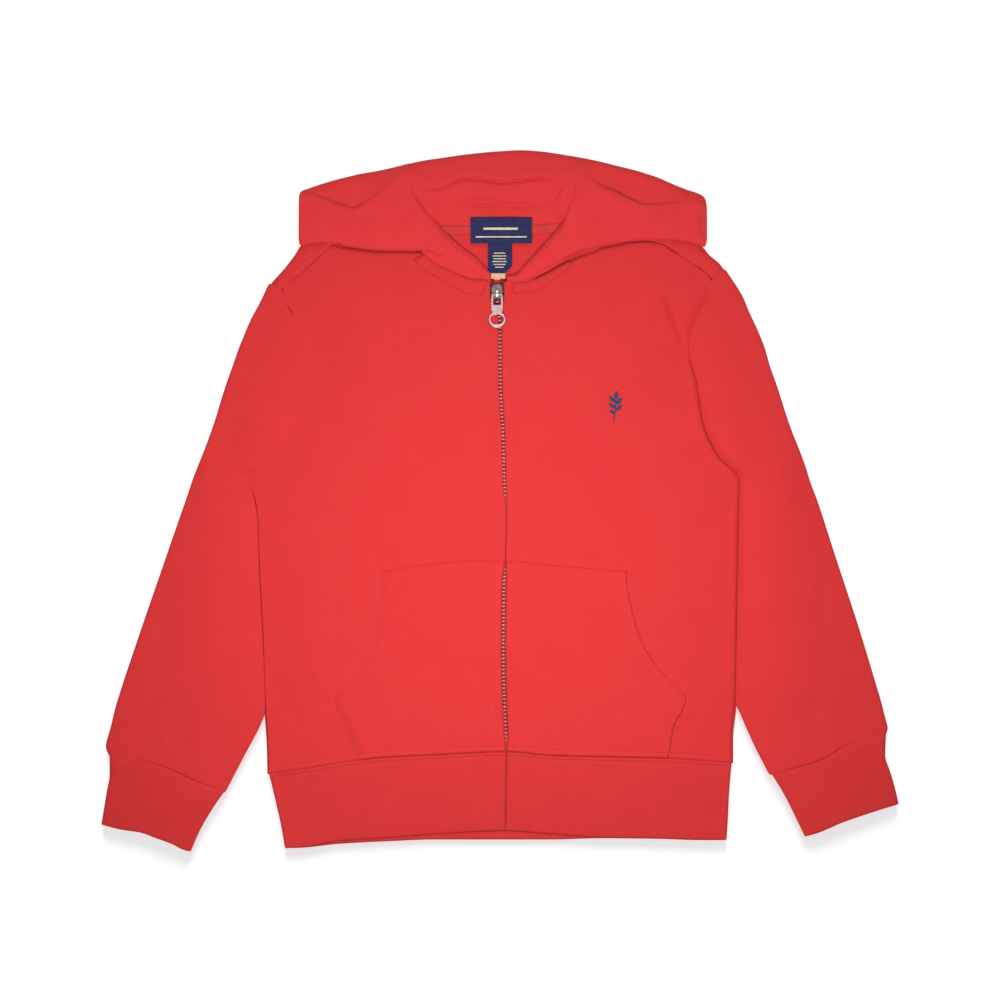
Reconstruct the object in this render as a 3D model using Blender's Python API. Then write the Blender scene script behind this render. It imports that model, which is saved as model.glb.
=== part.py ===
"""A child's zip-through fleece hoodie, laid flat on its back on a table, front up.

Sizes are in millimetres in this file and become metres in the meshes. +X is to the right as seen from
above, +Y towards the hood, +Z up. The table is at z = 0, and the origin is at the middle of the garment's
outline. Left and right are as seen from above. Each piece that a maker cuts is one closed solid.
"""

import math

import bmesh
import bpy
import numpy as np

MM = 0.001

# Cloth
FLEECE = 2.2          # wall of the brushed fleece
RIB = 2.8             # wall of the rib, folded double, of the cuffs and the waistband
SEAM_GAP = 0.3        # between two pieces at a seam, or one lying on another
BUTT_GAP = 0.4        # between two pieces that meet edge to edge
SLEEVE_HOLLOW = 0.8   # between the two layers of a sleeve at its folded edges
CUFF_HOLLOW = 0.9
SLEEVE_PUFF = 1.8     # how much higher a sleeve is along its middle
FRONT_LIFT = 3.0      # how far the fronts rise off the back, away from their outer edges
LIFT_REACH = 50.0     # over this distance from the side and the shoulder
SHOULDER_LEVEL = 206.0
HOOD_HEM = 4.2        # the hood's doubled front edge
LAPEL_FLOOR = 5.6     # underside of the hood's turned-out edges, over the shoulders
LIP_FLOOR = 3.2       # underside of the hood's own neck edge
CUFF_PUFF = 0.6
WRAP_ROUND = 1.6      # rounding of the fold where the back turns over the shoulders
WRAP_TOP = 4.8
WRAP_FOOT = 0.9       # the fold's solid starts inside the back, to be one with it

# Small pieces
TAPE_REACH = 14.0     # from the zip's line to the outer edge of a zip tape
TAPE_SINK = 0.5       # between a tape's top and the front panel above it
TAPE_THICK = 0.7
TEETH_REACH = 2.0     # from the zip's line to the outer side of its teeth
TEETH_SIDE = 0.15     # from the zip's line to the inner side of its teeth
TEETH_RISE = 0.2      # how far the teeth stand above and below their tape
TEETH_DROP = 0.8
TEETH_TOP = 158.0     # the closed teeth end here, inside the slider
OPEN_SIDE = 2.6       # from the zip's line to the tapes' cords, above the slider
CORD_WIDTH = 0.2
BAND_THICK = 1.2      # topstitched band at the front neck
NECK_TAPE_THICK = 0.8
LABEL_THICK = 0.6
CARE_THICK = 0.4
TAB_THICK = 0.2
TAB_GAP = 0.2

RED = (0.79, 0.045, 0.05)
RED_RIB = (0.66, 0.037, 0.04)
NAVY = (0.02, 0.045, 0.2)
TAN = (0.75, 0.4, 0.22)
NICKEL = (0.42, 0.4, 0.38)


def table(columns, *rows):
    """A short table, as one list of values for each named column."""
    return {name: np.array([row[place] for row in rows], float) for place, name in enumerate(columns.split())}


def smooth(keys, values, at):
    """Values read from a curve that passes through each row and never swings past it."""
    keys = np.asarray(keys, float)
    values = np.asarray(values, float)
    order = np.argsort(keys)
    keys = keys[order]
    values = values[order]
    steps = np.diff(keys)
    slopes = np.diff(values) / steps
    bends = np.zeros(len(keys))
    bends[0] = slopes[0]
    bends[-1] = slopes[-1]
    for place in range(1, len(keys) - 1):
        before, after = slopes[place - 1], slopes[place]
        if before * after > 0:
            bends[place] = 2 * before * after / (before + after)
    at = np.clip(np.asarray(at, float), keys[0], keys[-1])
    span = np.clip(np.searchsorted(keys, at, side="right") - 1, 0, len(steps) - 1)
    share = (at - keys[span]) / steps[span]
    return (
        values[span] * (1 + 2 * share) * (1 - share) ** 2
        + values[span + 1] * share**2 * (3 - 2 * share)
        + bends[span] * steps[span] * share * (1 - share) ** 2
        - bends[span + 1] * steps[span] * share**2 * (1 - share)
    )


def along(points, shares):
    """Points at shares of the length of the smooth line through the given points."""
    points = np.asarray(points, float)
    lengths = np.linalg.norm(np.diff(points, axis=0), axis=1)
    reached = np.concatenate([[0.0], np.cumsum(lengths)])
    at = np.asarray(shares) * reached[-1]
    return np.stack([smooth(reached, points[:, axis], at) for axis in range(points.shape[1])], axis=-1)


def patch(start, end, outer, inner, rows, columns):
    """A four-sided panel's points: start and end run from outer to inner, outer and inner from start to end."""
    across = np.asarray(columns)[None, :, None]
    down = np.asarray(rows)[:, None, None]
    first, last = along(start, columns)[None], along(end, columns)[None]
    left, right = along(outer, rows)[:, None], along(inner, rows)[:, None]
    corners = (
        (1 - down) * ((1 - across) * first[:, :1] + across * first[:, -1:])
        + down * ((1 - across) * last[:, :1] + across * last[:, -1:])
    )
    return (1 - down) * first + down * last + (1 - across) * left + across * right - corners


def ease(share):
    """A soft rise from 0 to 1."""
    share = np.clip(share, 0, 1)
    return share * share * (3 - 2 * share)


def material(name, colour, roughness, metallic=0.0):
    finish = bpy.data.materials.new(name)
    finish.use_nodes = True
    shader = finish.node_tree.nodes["Principled BSDF"]
    shader.inputs["Base Color"].default_value = (*colour, 1.0)
    shader.inputs["Roughness"].default_value = roughness
    shader.inputs["Metallic"].default_value = metallic
    return finish


def add_object(name, points, faces, colour, roughness=0.9, metallic=0.0, at=(0, 0, 0)):
    """One closed solid from points in millimetres, with its origin at the point given."""
    mesh = bpy.data.meshes.new(name)
    shifted = (np.asarray(points, float) - np.asarray(at, float)) * MM
    mesh.from_pydata(shifted.tolist(), [], faces)
    form = bmesh.new()
    form.from_mesh(mesh)
    bmesh.ops.recalc_face_normals(form, faces=form.faces)
    bmesh.ops.triangulate(form, faces=form.faces)
    form.to_mesh(mesh)
    form.free()
    mesh.shade_smooth()
    mesh.set_sharp_from_angle(angle=math.radians(40))
    mesh.materials.append(material(name, colour, roughness, metallic))
    solid = bpy.data.objects.new(name, mesh)
    solid.location = tuple(value * MM for value in at)
    bpy.context.scene.collection.objects.link(solid)
    return solid


def sheet(name, under, over, colour, **finish):
    """A cloth panel between two grids of points, its underside and its top."""
    rows, columns = over.shape[:2]
    points = np.concatenate([over.reshape(-1, 3), under.reshape(-1, 3)])

    def top(row, column):
        return row * columns + column

    def low(row, column):
        return rows * columns + top(row, column)

    faces = []
    for row in range(rows - 1):
        for column in range(columns - 1):
            corners = [(row, column), (row, column + 1), (row + 1, column + 1), (row + 1, column)]
            faces.append([top(*corner) for corner in corners])
            faces.append([low(*corner) for corner in reversed(corners)])
        for column in (0, columns - 1):
            faces.append([top(row, column), top(row + 1, column), low(row + 1, column), low(row, column)])
    for column in range(columns - 1):
        for row in (0, rows - 1):
            faces.append([top(row, column), top(row, column + 1), low(row, column + 1), low(row, column)])
    return add_object(name, points, faces, colour, **finish)


def tube(name, outer, inner, colour, **finish):
    """A tube of cloth, open at both ends, from its outer rings and its inner rings."""
    rings, around = outer.shape[:2]
    points = np.concatenate([outer.reshape(-1, 3), inner.reshape(-1, 3)])
    faces = []
    for step in range(around):
        following = (step + 1) % around
        for ring in range(rings - 1):
            quad = [
                ring * around + step,
                ring * around + following,
                (ring + 1) * around + following,
                (ring + 1) * around + step,
            ]
            faces.append(quad)
            faces.append([rings * around + corner for corner in reversed(quad)])
        for ring in (0, rings - 1):
            near, far = ring * around + step, ring * around + following
            faces.append([near, far, rings * around + far, rings * around + near])
    return add_object(name, points, faces, colour, **finish)


def loft(name, sections, colour, **finish):
    """A solid through closed sections that have the same number of points."""
    count, around = sections.shape[:2]
    faces = [list(range(around)), list(range((count - 1) * around, count * around))]
    for section in range(count - 1):
        for step in range(around):
            following = (step + 1) % around
            faces.append([
                section * around + step,
                section * around + following,
                (section + 1) * around + following,
                (section + 1) * around + step,
            ])
    return add_object(name, sections.reshape(-1, 3), faces, colour, **finish)


def plate(name, outline, low, high, colour, **finish):
    """A flat plate with the given outline, between two heights."""
    outline = np.asarray(outline, float)
    sections = np.stack([np.column_stack([outline, np.full(len(outline), level)]) for level in (low, high)])
    return loft(name, sections, colour, **finish)


def join(keeper, other):
    """Unites another solid with the keeper, as one body."""
    union = keeper.modifiers.new("join_" + other.name, "BOOLEAN")
    union.operation = "UNION"
    union.object = other
    other.hide_render = True
    other.display_type = "WIRE"


def cut(keeper, cutter):
    """Takes the cutter's shape out of the keeper."""
    difference = keeper.modifiers.new("cut_" + cutter.name, "BOOLEAN")
    difference.operation = "DIFFERENCE"
    difference.object = cutter
    cutter.hide_render = True
    cutter.display_type = "WIRE"


# The zip: its line down the front, and how far each front's edge stands back from that line.
# The teeth show where the edges stand apart, and the edges close over them by the pocket and at the hem.
ZIP = table(
    "y line apart",
    (173, -2.3, 5.4),
    (159, -2.3, 5.4),
    (151, -1.2, 2.8),
    (140, 0.0, 2.1),
    (94, 0.4, 2.1),
    (47, 2.7, 2.1),
    (12, 3.6, 1.8),
    (-8, 5.0, 0.5),
    (-47, 4.3, 0.6),
    (-62, 3.4, 1.7),
    (-117, 2.7, 1.8),
    (-156, 3.5, 1.8),
    (-188, 4.8, 1.5),
    (-200, 5.0, 0.5),
    (-262, 4.3, 0.4),
)

NECKLINE_END = 171.0

# The front panels, row by row from the neck to the waist: the outer edge runs down the shoulder seam,
# the armhole and the side; the inner edge down the neckline, then the zip.
FRONT_LEFT = table(
    "y outer neck",
    (203, -108, -78),
    (199, -129, -70),
    (193, -136, -60),
    (186, -145.5, -51),
    (181, -152, -41),
    (175, -160.5, -28),
    (172, -163, -8.5),
    (165, -170, 0),
    (158, -170, 0),
    (151, -165, 0),
    (142, -160, 0),
    (128, -150, 0),
    (118, -147, 0),
    (105, -148.5, 0),
    (88, -153, 0),
    (62, -162, 0),
    (45, -168, 0),
    (36, -176, 0),
    (26, -186, 0),
    (18.5, -197, 0),
    (12, -195.4, 0),
    (0, -191.2, 0),
    (-18, -189, 0),
    (-47, -188, 0),
    (-109, -185, 0),
    (-160, -183, 0),
    (-187, -181, 0),
    (-206, -180.5, 0),
)
FRONT_RIGHT = table(
    "y outer neck",
    (203, 110, 74),
    (200, 127, 70),
    (195, 135, 63),
    (189, 145, 55),
    (183, 154, 47),
    (176, 163, 36),
    (173, 165, 26),
    (172, 165.5, 8),
    (167, 168.5, 0),
    (158, 162.5, 0),
    (149, 157.5, 0),
    (137, 152.5, 0),
    (128, 149, 0),
    (119, 148, 0),
    (105, 150, 0),
    (91, 153.5, 0),
    (63, 158, 0),
    (53, 161, 0),
    (42, 166, 0),
    (33, 171.5, 0),
    (25, 180, 0),
    (17, 187, 0),
    (0, 186.5, 0),
    (-78, 185, 0),
    (-158, 183.5, 0),
    (-180, 181, 0),
    (-206, 181, 0),
)

# The back panel, row by row. Its top row is the back neck seam.
BACK = table(
    "y left right",
    (211, -48, 43),
    (209.5, -93, 92),
    (204, -132, 141),
    (194, -157.5, 159.5),
    (183, -167, 172),
    (172, -176.5, 171.5),
    (168, -179, 169.5),
    (158, -171, 162.5),
    (142, -160, 155),
    (128, -150, 149),
    (118, -147, 148),
    (105, -148.5, 150),
    (88, -153, 154),
    (62, -162, 158),
    (45, -168, 165),
    (36, -176, 169.5),
    (26, -186, 179),
    (17, -196, 187),
    (12, -195.4, 187),
    (0, -191.2, 186.5),
    (-18, -189, 186.2),
    (-47, -188, 185.5),
    (-109, -185, 184.5),
    (-160, -183, 183.5),
    (-187, -181, 181),
    (-206, -180.5, 181),
)

# The waist seam across the front and back, where the waistband is sewn on, and the hem below it.
WAIST = table(
    "x seam back_seam front_hem back_hem",
    (-181, -213.5, -213.5, -272, -272),
    (-156, -210, -209, -271, -271.5),
    (-127, -205, -205.5, -266, -268.5),
    (-90, -200.5, -202.5, -263.5, -266.5),
    (-50, -198.5, -200.5, -260.5, -265),
    (4, -196, -199.5, -258, -265),
    (40, -199, -199.5, -260.5, -265),
    (80, -200, -200.2, -263, -264),
    (125, -201, -201, -264, -264.5),
    (156, -203, -203, -265, -265.5),
    (181, -205, -205, -265, -265.5),
)
WAIST_LEVEL = -206.0
WAIST_FADE = 60.0
WAIST_STEP = -195.0   # the zip tapes rise to the thicker waistband from here
SEAM_STEP = 1.5
BAND_SIDES = table("down left right", (0, -180.5, 181), (0.4, -175, 179), (0.75, -170.5, 178), (1, -168, 177))

# Where the back wraps over each shoulder: the fold's place and the forward shoulder seam's place.
SHOULDER_LEFT = table(
    "fold_x fold_y seam_x seam_y",
    (-178.6, 167.8, -170.3, 165.4),
    (-167, 183, -160.5, 176),
    (-157.3, 195, -145.3, 187),
    (-148.5, 199.8, -137.5, 193.5),
    (-132, 204.5, -129, 200),
    (-108, 207.5, -108, 203.5),
    (-80, 209.8, -82, 203.5),
)
SHOULDER_RIGHT = table(
    "fold_x fold_y seam_x seam_y",
    (176.4, 178.5, 166.3, 173.4),
    (171, 185.6, 158, 181),
    (160.5, 194.6, 148, 188),
    (152, 199.8, 139, 194),
    (137, 205, 127, 200.6),
    (110, 208, 110, 203.6),
    (84, 209.6, 82, 203.6),
)

# The sleeves, section by section from the shoulder to the cuff: the outer fold's place, and that of the
# inner edge, which runs along the armhole, past the armpit and down the underarm. bend is how much of the
# cuff seam's curve a section takes.
SLEEVE_LEFT = table(
    "outer_x outer_y inner_x inner_y bend",
    (-181.8, 165.6, -175.4, 161, 0),
    (-188, 154, -168, 152, 0),
    (-194.5, 142, -161.4, 142, 0),
    (-200.5, 128, -151.4, 128, 0),
    (-204.5, 118, -148.4, 118, 0),
    (-209, 105, -149.8, 105, 0),
    (-215, 88, -154.4, 88, 0),
    (-223, 62, -163.4, 62, 0),
    (-229, 45, -169.4, 45, 0),
    (-232.5, 36, -177.4, 36, 0),
    (-236.5, 26, -187.4, 26, 0),
    (-240, 17, -198.6, 17.5, 0),
    (-244, 5, -193.4, 4, 0),
    (-252, -18, -190, -18, 0),
    (-262, -47, -189.2, -47, 0),
    (-283, -108, -186.2, -109, 0.05),
    (-297, -150, -184.2, -154, 0.2),
    (-300.9, -163, -183.9, -165.5, 0.3),
    (-304, -176, -187, -175, 0.45),
    (-308, -192, -200, -200, 0.8),
    (-305, -199.8, -215, -228, 1),
)
SLEEVE_RIGHT = table(
    "outer_x outer_y inner_x inner_y bend",
    (178.2, 177.4, 172.4, 171.2, 0),
    (190.4, 158, 163.9, 158, 0),
    (194, 149, 158.9, 149, 0),
    (201, 134, 152.4, 134, 0),
    (207, 119, 149.4, 119, 0),
    (211, 105, 151.4, 105, 0),
    (216, 91, 154.9, 91, 0),
    (225, 63, 159.4, 63, 0),
    (229, 52, 162.8, 52, 0),
    (233, 42, 167.4, 42, 0),
    (236.5, 33, 172.9, 33, 0),
    (239.5, 24.5, 181.6, 24.5, 0),
    (242, 16, 188.4, 16.5, 0),
    (248, 0, 187.9, 0, 0),
    (261, -40, 186.9, -40, 0),
    (281, -101, 185.6, -100, 0.05),
    (294, -144, 184.8, -146, 0.2),
    (297.6, -156, 184.8, -157, 0.3),
    (300.4, -167, 187.6, -166.5, 0.45),
    (303, -178, 198, -190, 0.8),
    (301, -183, 210.4, -214, 1),
)

# The cuffs: each side is listed from the seam to the wrist, and each end from the outer side inwards.
CUFF_LEFT = {
    "seam": [(-305, -200.4), (-295, -200.6), (-284, -202.1), (-269, -206.1), (-256, -210.6), (-240, -218.1),
             (-224, -225.1), (-215.5, -229)],
    "wrist": [(-311.5, -253), (-296, -257), (-280, -259.5), (-269, -263.5), (-257, -268), (-247, -273),
              (-241.5, -274)],
    "outer": [(-305, -200.4), (-305, -214), (-307, -226), (-311.5, -253)],
    "inner": [(-215.5, -229), (-224, -240), (-234, -257), (-241.5, -274)],
}
CUFF_RIGHT = {
    "seam": [(301.5, -183.8), (288, -185.8), (277, -189.8), (267, -193.8), (258, -199.3), (246, -204.8),
             (235, -207.8), (224, -211.8), (212, -214.8)],
    "wrist": [(311.5, -237), (289, -244), (266, -252), (250, -259), (238, -262.5)],
    "outer": [(301.5, -183.8), (301, -199), (305, -212), (309, -226), (311.5, -237)],
    "inner": [(212, -214.8), (221, -228), (234, -254), (238, -262.5)],
}

# The patch pocket's halves, row by row from the top: the outer edge curves out to the hand opening's end.
POCKET_LEFT = table(
    "y outer",
    (-47, -96),
    (-62, -96),
    (-82, -97),
    (-108, -99),
    (-129, -109),
    (-138, -114),
    (-153, -130),
    (-158, -131),
    (-172, -124),
    (-190, -117),
    (-202, -113),
)
POCKET_RIGHT = table(
    "y outer",
    (-47, 99),
    (-55, 99),
    (-78, 102),
    (-94, 105),
    (-111, 111),
    (-128, 121),
    (-140, 131),
    (-154, 145),
    (-175, 136),
    (-200, 131),
)
POCKET_TOP = table("x top", (-96, -56), (-59, -50), (-17, -46.5), (4, -47), (47, -51), (99, -55))
POCKET_LEVEL = -47.0
POCKET_FADE = 50.0

# The hood's side panels, section by section from the tip to the zip. face: the front edge of the hood,
# turned out. ridge: the turned-out part's upper fold. top: the outline behind it, then the edge along the
# middle panel. base: the lower limit of what lies on the table. lip: how much shows of the cloth between
# the turned-out edge and the neck seam. lapel, hollow, band: heights of the turned-out part, of the dip
# behind it and of the roll at the outline. foot: height of the underside.
HOOD_LEFT = table(
    "x face ridge top base lip neck lapel hollow band foot",
    (-157, 203, 232, 238, 206, 0, 203, 8.5, 7.5, 7.0, 2.0),
    (-155, 199.5, 236.5, 241.5, 201, 0, 199.5, 9.6, 8.6, 8.4, 0.0),
    (-150, 200, 238.5, 243.6, 201, 0, 200, 10.2, 8.4, 9.6, 0.0),
    (-140, 201, 236, 247.2, 203.5, 0, 201, 10.8, 8.0, 10.6, 0.0),
    (-128, 200, 232, 250.8, 206, 0, 200, 11.6, 7.6, 11.2, 0.0),
    (-115, 197, 228.5, 254, 208, 0, 197, 12.2, 7.4, 11.6, 0.0),
    (-105, 196, 231, 256, 209, 0, 196, 12.8, 7.6, 11.8, 0.0),
    (-89, 195, 243, 259, 210.5, 0, 195, 14.0, 9.0, 12.2, 0.0),
    (-77, 195, 252, 262, 211.2, 0, 195, 15.0, 12.0, 12.4, 0.0),
    (-71.4, 195, 254.5, 262.8, 211.5, 0, 195, 15.0, 12.0, 12.2, 0.0),
    (-71, 195, 254.5, 257, 211.5, 0, 195, 15.0, 12.0, 10.0, 0.0),
    (-67, 195.3, 238, 240.5, 211.8, 0, 195.3, 14.2, 11.2, 9.4, 0.0),
    (-60, 195.8, 228, 230.5, 212, 1, 193.8, 13.0, 10.2, 8.6, 0.0),
    (-52.5, 194.5, 218.6, 220.8, 212.2, 1, 187.8, 11.8, 9.2, 7.6, 0.0),
    (-50.5, 193.8, 215.8, 218, 212.2, 1, 186.2, 11.4, 9.0, 7.2, 2.8),
    (-42, 190.8, 204.8, 207, 204, 1, 182.4, 10.4, 8.6, 7.0, 2.8),
    (-29, 184, 194, 196, 192.5, 1, 176.2, 9.6, 8.2, 7.0, 2.8),
    (-18, 178.5, 186, 188, 185, 1, 174.5, 9.2, 8.0, 7.0, 2.8),
    (-10.5, 175.4, 178.6, 180, 178.6, 1, 173.2, 8.6, 7.8, 7.0, 2.8),
)
HOOD_RIGHT = table(
    "x face ridge top base lip neck lapel hollow band foot",
    (161.5, 204, 224, 230, 206, 0, 204, 8.5, 7.5, 7.0, 2.0),
    (160, 198.5, 229, 236, 201, 0, 198.5, 9.6, 8.6, 8.4, 0.0),
    (155, 200, 232.5, 239.8, 201, 0, 200, 10.2, 8.6, 9.6, 0.0),
    (146, 203, 233, 242.8, 204, 0, 203, 10.6, 8.4, 10.4, 0.0),
    (135, 204, 232, 247.4, 206.5, 0, 204, 11.0, 8.2, 11.0, 0.0),
    (122, 204, 231.5, 253, 208, 0, 204, 11.6, 8.0, 11.4, 0.0),
    (108, 202.5, 233, 257.5, 209, 0, 202.5, 12.2, 8.2, 11.8, 0.0),
    (94, 200, 239, 261, 210, 0, 200, 12.8, 9.0, 12.0, 0.0),
    (80, 198, 245, 264.5, 210.8, 0, 198, 13.6, 10.0, 12.2, 0.0),
    (66, 193.5, 252.5, 267.2, 211.2, 0, 193.5, 14.4, 12.0, 12.4, 0.0),
    (59.9, 190.9, 252.5, 268.2, 211.5, 0, 190.9, 14.2, 11.4, 12.2, 0.0),
    (59.5, 190.8, 252.5, 256, 211.5, 0, 190.8, 14.2, 11.4, 10.0, 0.0),
    (57.5, 190, 240, 243, 211.8, 0, 190, 13.4, 10.8, 9.4, 0.0),
    (53.2, 188.5, 227, 229.5, 212, 0.5, 188.5, 12.4, 10.0, 8.6, 0.0),
    (49.4, 187, 215.5, 218, 212.2, 1, 185.4, 11.6, 9.4, 7.6, 0.0),
    (47.6, 186.2, 213, 215.5, 212.2, 1, 184.2, 11.4, 9.2, 7.4, 2.8),
    (42.4, 183.6, 205.6, 208, 204.5, 1, 180.8, 10.8, 8.8, 7.2, 2.8),
    (30, 178, 191.6, 194, 190.5, 1, 174.8, 9.8, 8.4, 7.0, 2.8),
    (20, 174.8, 181.6, 184, 181, 1, 173.4, 9.2, 8.0, 7.0, 2.8),
    (12.5, 173.8, 175, 176.2, 175, 1, 173, 8.6, 7.8, 7.0, 2.8),
)

# The hood's middle panel, between the two side panels.
HOOD_CENTRE_SIDES = table(
    "y left right",
    (211.8, -45.2, 44.2),
    (218, -49.8, 48.4),
    (229.5, -58.4, 52.4),
    (240.5, -66, 56.6),
    (256, -70, 58.8),
    (275, -70, 58.8),
)
HOOD_CROWN = table(
    "x outline face",
    (-70.4, 265, 247),
    (-50, 268, 244.5),
    (-30, 270.5, 249.5),
    (0, 273, 250.5),
    (16, 274.1, 251.5),
    (32, 273, 250),
    (47, 271, 246),
    (59, 269, 249),
)
NECK_SEAM = 211.8
CROWN_TOP = 13.0
CROWN_UNDER = 9.0

# The middle panel's roll, from the table up and over, and the inner face of that roll. back: how far behind
# the outline. CREASE: the rise of the soft crease inside the hood, from the roll down to the neck.
CROWN_ROLL = table("back z", (5, 0), (1, 3), (0, 6.5), (1.5, 10.5), (6, CROWN_TOP), (12, CROWN_TOP + 0.2))
CROWN_LINING = table("back z", (11, CROWN_UNDER), (5.5, 6.5), (8, FLEECE + 0.4))
CREASE = table("y rise", (243, 0), (236, 0.6), (230, 2.4), (222, 0.4), (NECK_SEAM, 0))

# The topstitched bands along the front neck seam: upper edge at the seam, lower edge towards the chest.
NECK_BAND_LEFT = {
    "seam": [(-59, 192.6), (-51, 185.6), (-40.5, 180.4), (-28, 174.6), (-22, 172.8), (-9.5, 171.8)],
    "hem": [(-66, 190), (-58, 183), (-48, 177), (-37, 170.5), (-28, 165), (-22, 163), (-13.5, 162.6)],
}
NECK_BAND_RIGHT = {
    "seam": [(54.5, 188.4), (46.5, 182.5), (35.5, 175.4), (28, 173), (20, 172.4), (9, 171.8)],
    "hem": [(57, 184), (50, 178), (43, 173), (32, 165.5), (24, 162.5), (9.5, 161.5)],
}

# Labels, as corner points around each
NECK_TAPE = [(-41.4, 208), (41.2, 208), (43.6, 211.6), (45.8, 214.5), (-46.4, 214.5), (-44.2, 211.6)]
LABEL_MAIN = [(-23, 201.5), (24.5, 200.5), (25.5, 221.5), (2, 222.5), (-23, 220)]
LABEL_CARE = [(-9.5, 176), (5, 176), (9.5, 182), (9.5, 206), (-9.5, 206)]
LABEL_TAB = [(-7, 172.6), (4, 172.6), (4, 184), (-7, 184)]

# The slider and its pull
SLIDER_X = -2.3
SLIDER_Y = 163.0
SLIDER_FORM = table(
    "across along",
    (-2.7, -5.75),
    (2.7, -5.75),
    (4.4, -2),
    (4.4, 3.45),
    (3.1, 5.75),
    (-3.1, 5.75),
    (-4.4, 3.45),
    (-4.4, -2),
)
SLIDER_CORE = table("across along", (-1.6, 1.5), (0, -0.6), (1.6, 1.5), (1.6, 5.15), (-1.6, 5.15))
SLIDER_MOUTH = 1.6    # room over the teeth
SLIDER_CLEARANCE = 0.6
PLATE_THICK = 1.2
BACK_PLATE_THICK = 1.0
OVERLAP = 0.5         # how far joined metal reaches into its plate
PIN_RADIUS = 0.7
PIN_CLEARANCE = 0.35
PIN_BACK = 2.2        # the pin's place, below the slider's middle
PIN_LIFT = 0.25
BAIL_WALL = 1.1
BAIL_WIDTH = 2.6
PULL_WIDTH = 9.6
PULL_THICK = 1.4
PULL_REACH = 14.5
PULL_CORNER = 1.2
WINDOW_WIDTH = 5.4
WINDOW_REACH = 6.6
RING_RADIUS = 6.6
RING_DOWN = 19.6
RING_HOLE = (5.1, 3.7)
RING_NECK = 3.0
ROUND_STEPS = 20


def zip_line(y):
    return smooth(ZIP["y"], ZIP["line"], y)


def zip_apart(y):
    return smooth(ZIP["y"], ZIP["apart"], y)


def front_edges(side, y):
    """The outer and the inner edge of a front panel at a row: the inner edge is the neckline, then the zip."""
    panel = FRONT_LEFT if side < 0 else FRONT_RIGHT
    outer = smooth(panel["y"], panel["outer"], y)
    zipped = zip_line(y) + side * zip_apart(y)
    neck = smooth(panel["y"], panel["neck"], y)
    return outer, np.where(y > NECKLINE_END, neck, zipped)


def lift(x, y):
    """How far the fronts rise off the back at a place."""
    sides = np.where(x < 0, smooth(BACK["y"], BACK["left"], y), smooth(BACK["y"], BACK["right"], y))
    return FRONT_LIFT * ease(np.abs(sides - x) / LIFT_REACH) * ease((SHOULDER_LEVEL - y) / LIFT_REACH)


def front_floor(x, y):
    """Height of the underside of the fronts."""
    return FLEECE + SEAM_GAP + lift(x, y)


def front_top(x, y):
    return front_floor(x, y) + FLEECE


def waist_drop(x, y, seam="seam"):
    """How far a row near the waist is bent to stop just short of the waist seam."""
    near = 1 - ease((y - WAIST_LEVEL) / WAIST_FADE)
    return (smooth(WAIST["x"], WAIST[seam], x) + BUTT_GAP - WAIST_LEVEL) * near


def grid(y, outer, inner, columns):
    """Rows of points between two edges."""
    across = np.asarray(columns)[None, :]
    x = outer[:, None] * (1 - across) + inner[:, None] * across
    return x, np.broadcast_to(y[:, None], x.shape)


def spread(rows, extra):
    """The rows of a table, and some more between those that are far apart."""
    rows = np.sort(np.asarray(rows, float))[::-1]
    made = [rows[0]]
    for row in rows[1:]:
        pieces = max(1, math.ceil((made[-1] - row) / extra))
        made.extend(np.linspace(made[-1], row, pieces + 1)[1:])
    return np.array(made)


def make_back():
    y = spread(BACK["y"], 50)
    x, y = grid(y, smooth(BACK["y"], BACK["left"], y), smooth(BACK["y"], BACK["right"], y), np.linspace(0, 1, 9))
    y = y + waist_drop(x, y, "back_seam")
    under = np.stack([x, y, np.zeros_like(x)], axis=-1)
    over = under + (0, 0, FLEECE)
    back = sheet("back", under, over, RED)
    for name, wrap in (("wrap_left", SHOULDER_LEFT), ("wrap_right", SHOULDER_RIGHT)):
        fold = np.column_stack([wrap["fold_x"], wrap["fold_y"]])
        seam = np.column_stack([wrap["seam_x"], wrap["seam_y"]])
        inwards = (seam - fold) / np.linalg.norm(seam - fold, axis=1, keepdims=True)
        shoulder = fold + inwards * WRAP_ROUND
        levels = [(seam, WRAP_FOOT), (seam, WRAP_TOP), (shoulder, WRAP_TOP),
                  (fold + inwards * 0.2, WRAP_TOP / 2), (shoulder, WRAP_FOOT)]
        sections = np.stack(
            [np.column_stack([line, np.full(len(line), level)]) for line, level in levels], axis=1
        )
        join(back, loft(name, sections, RED))


def make_front(name, side):
    panel = FRONT_LEFT if side < 0 else FRONT_RIGHT
    y = spread(np.concatenate([panel["y"], [169.5, 154, 12, -8, -55]]), 36)
    outer, inner = front_edges(side, y)
    x, y = grid(y, outer, inner, [0, 0.06, 0.2, 0.4, 0.7, 1])
    floor = front_floor(x, y)
    y = y + waist_drop(x, y)
    under = np.stack([x, y, floor], axis=-1)
    sheet(name, under, under + (0, 0, FLEECE), RED)


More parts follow.
